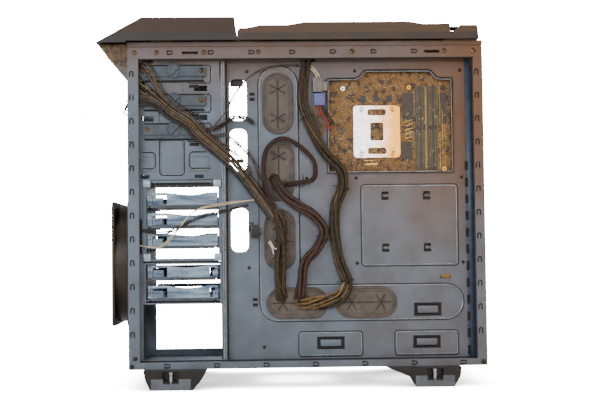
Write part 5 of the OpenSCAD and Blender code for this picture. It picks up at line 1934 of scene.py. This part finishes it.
@dataclass
class Loom:
    """The cables behind the motherboard tray: braided bundles, loose wires, and what holds them.

    Each route is a list of points: out from the tray, back from the frame's front, and up.

    Attributes:
        wire_r: the radius of one wire of the front panel, in mm.
        seed: fixes how the loose wires lie.
    """

    wire_r: float = 1.0
    seed: int = 11
    cpu_power: Route = (
        (-12, 262, 456), (2, 262, 455), (10, 258, 438), (11, 254, 389), (11, 262, 356), (11, 284, 312),
        (13, 308, 283), (13, 310, 258), (11, 299, 230), (11, 298, 190), (11, 305, 150), (11, 314, 120),
        (11, 303, 98), (8, 282, 90), (-4, 268, 90),
    )
    main_power: Route = (
        (-8, 210, 276), (4, 210, 272), (13, 225, 248), (14, 244, 232), (15, 266, 219), (15, 281, 196),
        (13, 272, 172), (12, 254, 150), (11, 249, 122), (6, 246, 102), (-6, 245, 92),
    )
    rear_drop: Route = (
        (14, 212, 226), (14, 220, 196), (13, 219, 160), (12, 217, 122), (6, 219, 102), (-6, 222, 92),
    )
    loop: Route = (
        (-6, 226, 262), (6, 230, 264), (16, 250, 266), (16, 268, 272), (16, 268, 296), (16, 246, 320),
        (16, 223, 330), (17, 202, 318), (19, 195, 290), (19, 200, 256), (15, 211, 228),
    )
    front_panel: Route = (
        (13, 3, 413), (19, 12, 410), (21.9, 22, 404), (21.9, 36, 394), (21.9, 48, 384), (21.9, 62, 371),
        (21.9, 88, 354), (21.9, 104, 335), (19.5, 140, 304), (15, 168, 273), (14, 192, 241), (14, 209, 216),
    )
    fan_lead: Route = (
        (7, 3, 178), (14, 15.5, 177), (18, 45, 175), (18, 67, 195), (18, 95, 226), (17, 137, 236),
        (12, 169, 240), (12, 190, 243),
    )
    flat_lead: Route = (
        (7, 3, 200), (14, 15.5, 199), (18, 56, 196), (18, 95, 214), (18, 137, 226), (13, 172, 234),
    )
    lower_fan: Route = (
        (12, 314, 118), (13, 304, 103), (12, 288, 97), (12, 268, 92), (8, 252, 90), (0, 238, 92),
    )
    side_lead: Route = (
        (19, 118, 331), (18, 134, 336), (14, 149, 330), (11, 168, 314), (10, 181, 297), (9, 190, 268),
        (12, 192, 241),
    )
    second_lead: Route = (
        (19, 112, 343), (18, 128, 346), (14, 139, 352), (10, 154, 362), (9, 171, 360), (9, 182, 352),
    )
    third_lead: Route = (
        (18, 122, 322), (17, 140, 322), (12, 158, 306), (9, 174, 288), (7, 176, 268),
    )
    thin_lead: Route = (
        (20, 116, 338), (19, 140, 368), (14, 152, 392), (10, 170, 416), (8, 194, 432), (8, 228, 438),
        (4, 248, 438),
    )

    def line(self, route: Route, steps: int = 7) -> list[Vector]:
        """One route as a smooth line in metres."""
        return smooth([SIDE.over_tray(*place) for place in route], steps)

    def sides(self, line: list[Vector]) -> list[tuple[Vector, Vector]]:
        """At each point of a line, the direction across it in the side view and the one out of the side.

        Args:
            line: the points of the line, in metres.

        Returns:
            At each point, the two unit vectors.
        """
        pairs, held = [], Vector((0, 0, 1))
        for i in range(len(line)):
            ahead = (line[min(i + 1, len(line) - 1)] - line[max(i - 1, 0)]).normalized()
            flat = Vector((1, 0, 0)).cross(ahead)
            if flat.length > 0.35:
                held = held.lerp(flat.normalized() * (1 if flat.dot(held) >= 0 else -1), 0.6).normalized()
            across = (held - ahead * held.dot(ahead)).normalized()
            pairs.append((across, across.cross(ahead)))
        return pairs

    def strands(
        self, route: Route, count: int, wide: float, thick: float, turns: float, start: float = 0.0
    ) -> list[list[Vector]]:
        """Lays strands round a route as a flattened twist.

        Args:
            route: the route of the bundle.
            count: how many strands lie round it.
            wide: how far each one goes from the middle in the side view, in mm.
            thick: how far it goes out of the side view.
            turns: how often they wind round it in all.
            start: the angle of the first one.

        Returns:
            One line for each strand.
        """
        middle = self.line(route)
        pairs = self.sides(middle)
        lines = []
        for s in range(count):
            line = []
            for i, (across, out) in enumerate(pairs):
                along = i / (len(middle) - 1)
                a = start + math.tau * (s / count + turns * along)
                wander = 1 + 0.15 * math.sin(9 * along + 2.1 * s)
                place = wide * wander * math.cos(a) * across + thick * math.sin(a) * out
                line.append(middle[i] + place * MM)
            lines.append(line)
        return lines

    def wires(self, name: str, finish: Finish, radius: float, lines: list[list[Vector]]) -> None:
        """Builds one piece of loose wires.

        Args:
            name: the name of the piece.
            finish: the wires' insulation.
            radius: the radius of a wire, in mm.
            lines: the middle line of each wire, in metres.
        """
        shape = Shape(name)
        for line in lines:
            shape.tube(line, radius, 6)
        dress(shape.piece(finish), "wire_insulation")

    def braided(self) -> None:
        """The four thick bundles, each as strands of braid round each other, with loose wires beside them."""
        table = (
            ("loom_cpu_power", self.cpu_power, SLEEVE, 4, 3.0, 5.0, 2.6, 0.9, "cable_cpu_power"),
            ("loom_main_power", self.main_power, RED_SLEEVE, 4, 3.2, 4.6, 3.0, 0.8, "cable_main_power"),
            ("loom_rear_drop", self.rear_drop, SLEEVE, 3, 3.6, 5.2, 2.4, 0.5, "cable_main_power"),
        )
        for name, route, finish, count, radius, wide, thick, turns, node in table:
            shape = Shape(name)
            for line in self.strands(route, count, wide, thick, turns):
                shape.tube(line, radius, 10)
            dress(shape.piece(finish), "cable_sleeve", node)
        shape = Shape("loom_loop")
        for line in self.strands(self.loop, 4, 1.9, 1.6, 1.6):
            shape.tube(line, 1.6, 8)
        dress(shape.piece(RED_SLEEVE), "cable_sleeve", "cable_leads")
        extras = (
            ("wires_cpu_gold", WIRE_GOLD, self.cpu_power, 3, 6.6, 3.6, 1.3, 0.7),
            ("wires_cpu_black", WIRE_BLACK, self.cpu_power, 3, 7.4, 3.2, 0.7, 0.8),
            ("wires_drop_brown", WIRE_BROWN, self.rear_drop, 3, 7.0, 3.4, 1.0, 1.0),
            ("wires_main_black", WIRE_BLACK, self.main_power, 2, 6.6, 3.8, 0.9, 0.9),
            ("wires_lower_gold", WIRE_GOLD, self.lower_fan, 6, 6.5, 3.0, 0.35, 1.5),
        )
        for name, finish, route, count, wide, thick, turns, radius in extras:
            self.wires(name, finish, radius, self.strands(route, count, wide, thick, turns, 0.8))

    def leads(self) -> None:
        """The thin leads that cross the tray and the drive bays."""
        table = (
            ("lead_front_fan", WIRE_TAN, self.fan_lead, 2, 1.1, 0.75),
            ("lead_flat", WIRE_BLACK, self.flat_lead, 3, 1.7, 0.85),
            ("lead_upper", WIRE_BROWN, self.thin_lead, 2, 1.0, 0.8),
            ("lead_side", WIRE_BROWN, self.side_lead, 3, 1.9, 0.8),
            ("lead_second", WIRE_BLACK, self.second_lead, 4, 2.2, 0.9),
            ("lead_third", WIRE_GOLD, self.third_lead, 2, 1.5, 0.75),
        )
        for name, finish, route, count, wide, radius in table:
            self.wires(name, finish, radius, self.strands(route, count, wide, 0.7, 1.4))

    def fan_out(self) -> None:
        """The front panel's wires: spread behind the post, and bundled past the first tie."""
        rng = random.Random(self.seed)
        finishes = (WIRE_BLACK, WIRE_BROWN, WIRE_BLACK, WIRE_GOLD, WIRE_BLACK, WIRE_BROWN, WIRE_TAN_DARK)
        shapes: dict[str, tuple[Shape, Finish]] = {}
        middle = self.line(self.front_panel, 8)
        pairs = self.sides(middle)
        count = 18
        for s in range(count):
            finish = finishes[s % len(finishes)]
            rank = s / (count - 1) - 0.5
            mixed = rng.uniform(-0.3, 0.3)
            phase = rng.uniform(0, math.tau)
            line = []
            for i, (across, out) in enumerate(pairs):
                along = i / (len(middle) - 1)
                half = max(50.0 - 120.0 * along, 13.5 - 7.0 * along)
                free = max(0.0, 1 - along / 0.35)
                place = half * (rank + mixed * min(1.0, 2.2 * along)) * 1.9
                place += (0.8 + 2.0 * free) * math.sin(6 * along + phase)
                level = 0.75 * math.sin(4 * along + 2 * phase) + (0.7 if s % 2 else -0.7)
                edge = Vector((0, 0, 1)) if i < 3 else across * (1 if across.z >= 0 else -1)
                spot = middle[i] + (place * edge + level * out) * MM
                spot.z = min(spot.z, SIDE.at(0, 0, 441).z)
                line.append(spot)
            name = "loom_front_" + finish.name.split()[0]
            shape, _ = shapes.setdefault(name, (Shape(name), finish))
            shape.tube(smooth(line[::3] + [line[-1]], 3), self.wire_r * rng.uniform(0.9, 1.15), 6)
        for i, (name, (shape, finish)) in enumerate(shapes.items()):
            nodes = ("cable_front_panel",) if i == 0 else ()
            dress(shape.piece(finish), "wire_insulation", *nodes)

    def ties(self) -> None:
        """Nylon ties round the bundles, with their cut tails, and the white tails that stick out."""
        black, white = Shape("cable_tie_bands"), Shape("cable_tie_tails")
        table = (
            (self.front_panel, 0.42, 12.0, 3.0), (self.front_panel, 0.82, 8.0, 3.2),
            (self.cpu_power, 0.5, 9.4, 5.6), (self.cpu_power, 0.78, 9.4, 5.6),
            (self.main_power, 0.55, 9.0, 6.0), (self.rear_drop, 0.3, 10.0, 6.4),
            (self.loop, 0.22, 4.2, 4.0), (self.cpu_power, 0.28, 9.0, 5.4),
        )
        for route, where, wide, thick in table:
            middle = self.line(route)
            i = int(where * (len(middle) - 1))
            across, out = self.sides(middle)[i]
            ring = []
            for k in range(17):
                a = math.tau * k / 16
                ring.append(middle[i] + (wide * math.cos(a) * across + thick * math.sin(a) * out) * MM)
            black.tube(ring, 1.0, 6)
            tail = [middle[i] + (thick * 0.8 * out + (wide * 0.7 + 3.0 * k) * across) * MM for k in range(4)]
            black.tube(tail, 0.7, 5)
        for bent in (
            ((14, 203, 182), (15, 211, 170), (14, 222, 183)),
            ((14, 208, 163), (16, 206, 172), (15, 201, 180)),
        ):
            white.tube(self.line(bent, 4), 0.9, 6)
        dress(black.piece(SOCKET_PLASTIC), "socket_plastic", "cable_ties")
        dress(white.piece(NATURAL_NYLON), "socket_plastic")

    def plugs(self) -> None:
        """The plugs that hang from the leads."""
        black, grey, blue = Shape("plug_black"), Shape("plugs_grey"), Shape("plug_blue")
        black.block((95, 103), (176, 186), (186, 205))
        black.block((94, 102), (172, 180), (196, 209))
        black.block((96, 101), (183, 191), (191, 199))
        for k in range(4):
            black.block((102.8, 104.0), (177.4 + 2.1 * k, 178.6 + 2.1 * k), (188, 203))
        for k in range(5):
            black.block((88.5, 90.5), (152 + k * 2.4, 153.3 + k * 2.4), (306 + k * 3.0, 330 - k * 2.0))
        black.block((88, 92), (148, 166), (296, 301))
        grey.block((88, 98), (268, 282), (398, 419))
        grey.block((88, 97), (282, 289), (400, 413))
        for k in range(4):
            grey.block((97.8, 99.0), (269.5 + 3.2 * k, 271.4 + 3.2 * k), (400, 417))
        blue.block((87.5, 96), (270, 285), (379, 396))
        blue.block((95.8, 97.4), (272.5, 282.5), (382, 393))
        dress(black.piece(SOCKET_PLASTIC, 0.4), "socket_plastic", "cable_connectors")
        dress(grey.piece(GREY_NYLON, 0.4), "socket_plastic")
        dress(blue.piece(BLUE_NYLON, 0.4), "socket_plastic")
        table = (
            ("plug_wires_red", WIRE_RED, ((8, 276, 380), (9, 279, 368), (8, 286, 358), (7, 290, 344))),
            ("plug_wires_gold", WIRE_GOLD, ((8, 272, 380), (9, 272, 366), (8, 278, 352), (7, 281, 336))),
            ("plug_wires_black", WIRE_BLACK, ((8, 280, 380), (9, 284, 370), (8, 290, 362), (7, 296, 352))),
            ("plug_wires_tan", WIRE_TAN, ((9, 276, 419), (10, 272, 428), (8, 262, 436), (6, 252, 441))),
        )
        for name, finish, route in table:
            self.wires(name, finish, 0.85, self.strands(route, 3, 2.4, 1.0, 0.6))

    def build(self) -> None:
        """Builds every cable."""
        self.braided()
        self.leads()
        self.fan_out()
        self.ties()
        self.plugs()


# --- the studio ---


@dataclass
class Studio:
    """The camera, a plain pale floor and soft studio light.

    Attributes:
        camera_at: where the camera stands, in metres.
        camera_turn: how it is turned, in degrees.
        lens: its focal length in mm on a 36 mm frame.
    """

    camera_at: Triple = (1.75, -0.0368, 0.199)
    camera_turn: Triple = (92.41, 0.665, 88.45)
    lens: float = 68.5

    def camera(self) -> None:
        """Sets up the camera."""
        data = bpy.data.cameras.new("camera")
        data.lens = self.lens
        data.sensor_width = 36.0
        data.clip_end = 60.0
        made = bpy.data.objects.new("camera", data)
        made.location = self.camera_at
        made.rotation_euler = [math.radians(a) for a in self.camera_turn]
        bpy.context.scene.collection.objects.link(made)
        bpy.context.scene.camera = made

    def lamp(self, name: str, place: Vector, size: float, watts: float, colour: str) -> None:
        """Adds a square soft light that points at the case.

        Args:
            name: its name.
            place: where it stands, in metres.
            size: the length of its side, in metres.
            watts: its power.
            colour: its sRGB colour.
        """
        data = bpy.data.lights.new(name, "AREA")
        data.size = size
        data.energy = watts
        data.color = linear(colour)[:3]
        made = bpy.data.objects.new(name, data)
        made.location = place
        aim = Vector((0, 0, 0.25)) - place
        made.rotation_euler = aim.to_track_quat("-Z", "Y").to_euler()
        bpy.context.scene.collection.objects.link(made)

    def lights(self) -> None:
        """A broad key from the front left, a warm one from the right, and one overhead."""
        self.lamp("key", Vector((2.6, -1.7, 1.3)), 1.8, 66.0, "#eef5ff")
        self.lamp("flash", Vector((2.5, 0.3, 0.62)), 0.4, 8.0, "#fffaf2")
        self.lamp("warm", Vector((2.2, 1.9, 1.2)), 1.4, 24.0, "#ffdcb4")
        self.lamp("top", Vector((0.2, 0.2, 2.4)), 1.6, 30.0, "#fff6ea")
        self.lamp("rear", Vector((-2.4, 0.6, 1.2)), 1.6, 30.0, "#f4f8ff")

    def backdrop(self) -> None:
        """A white surround that reads as plain paper, and dimmer light from it on the case."""
        world = bpy.data.worlds.new("white surround")
        bpy.context.scene.world = world
        world.use_nodes = True
        tree = world.node_tree
        tree.nodes.clear()
        seen = add(tree, "ShaderNodeLightPath", out="Is Camera Ray")
        strength = add(tree, "ShaderNodeMapRange", {"Value": seen, "To Min": 0.3, "To Max": 26.0})
        shade = add(tree, "ShaderNodeBackground", {"Color": (1.0, 1.0, 1.0, 1.0), "Strength": strength})
        add(tree, "ShaderNodeOutputWorld", {"Surface": shade})

    def floor(self) -> None:
        """A pale matt floor, bright as lit paper, with a painted soft shade under what stands on it."""
        shape = bmesh.new()
        bmesh.ops.create_grid(shape, x_segments=1, y_segments=1, size=4.0)
        data = bpy.data.meshes.new("floor")
        shape.to_mesh(data)
        shape.free()
        made = bpy.data.objects.new("floor", data)
        bpy.context.scene.collection.objects.link(made)
        paper = bpy.data.materials.new("pale studio paper")
        paper.use_nodes = True
        tree = paper.node_tree
        tree.nodes.clear()
        place = coords(tree)
        fibre = add(tree, "ShaderNodeTexNoise", {"Vector": place, "Scale": 300.0})
        tone = blend(tree, fibre, linear("#ecebe8"), linear("#f7f6f4"))
        lit = add(tree, "ShaderNodeBsdfDiffuse", {"Color": tone})
        # Painted contact shade: the floor's glow is dimmed where ambient occlusion finds something near.
        shade = add(tree, "ShaderNodeAmbientOcclusion", {"Distance": 0.07}, out="AO", samples=4)
        seen = add(tree, "ShaderNodeLightPath", out="Is Camera Ray")
        open_ = reckon(tree, "POWER", shade, 2.0)
        glow = reckon(tree, "MULTIPLY", open_, seen)
        strength = reckon(tree, "MULTIPLY", glow, 24.0)
        white = add(tree, "ShaderNodeEmission", {"Color": (1.0, 1.0, 1.0, 1.0), "Strength": strength})
        both = add(tree, "ShaderNodeAddShader", {0: lit, 1: white})
        add(tree, "ShaderNodeOutputMaterial", {"Surface": both})
        data.materials.append(paper)

    def build(self) -> None:
        """Sets up the whole studio."""
        self.camera()
        self.backdrop()
        self.lights()
        self.floor()


def main() -> None:
    """Builds the studio and every piece of the tower."""
    logging.basicConfig(level=logging.INFO, format="%(name)s: %(message)s")
    Studio().build()
    Case().paint()
    Beads().build()
    Flanges().build()
    Hooks().build()
    Screws().build()
    Grommets().build()
    BoardBack().build()
    BoardFront().build()
    TrayEnds().build()
    Bridges().build()
    CageCorners().build()
    FootPins().build()
    for rotor in (
        Rotor("front_fan_rotor", 9, Axis.BACK, RED_BLADE),
        Rotor("top_fan_rotor", 9, Axis.UP, BLADE_PLASTIC),
        Rotor("rear_fan_rotor", 7, Axis.BACK, BLADE_PLASTIC),
        Rotor("cooler_fan_rotor", 7, Axis.BACK, BLADE_PLASTIC),
        Rotor("gpu_fan_rotor", 9, Axis.UP, BLADE_PLASTIC),
        Rotor("psu_fan_rotor", 9, Axis.UP, BLADE_PLASTIC),
    ):
        rotor.build()
    Loom().build()


if __name__ == "__main__":
    main()
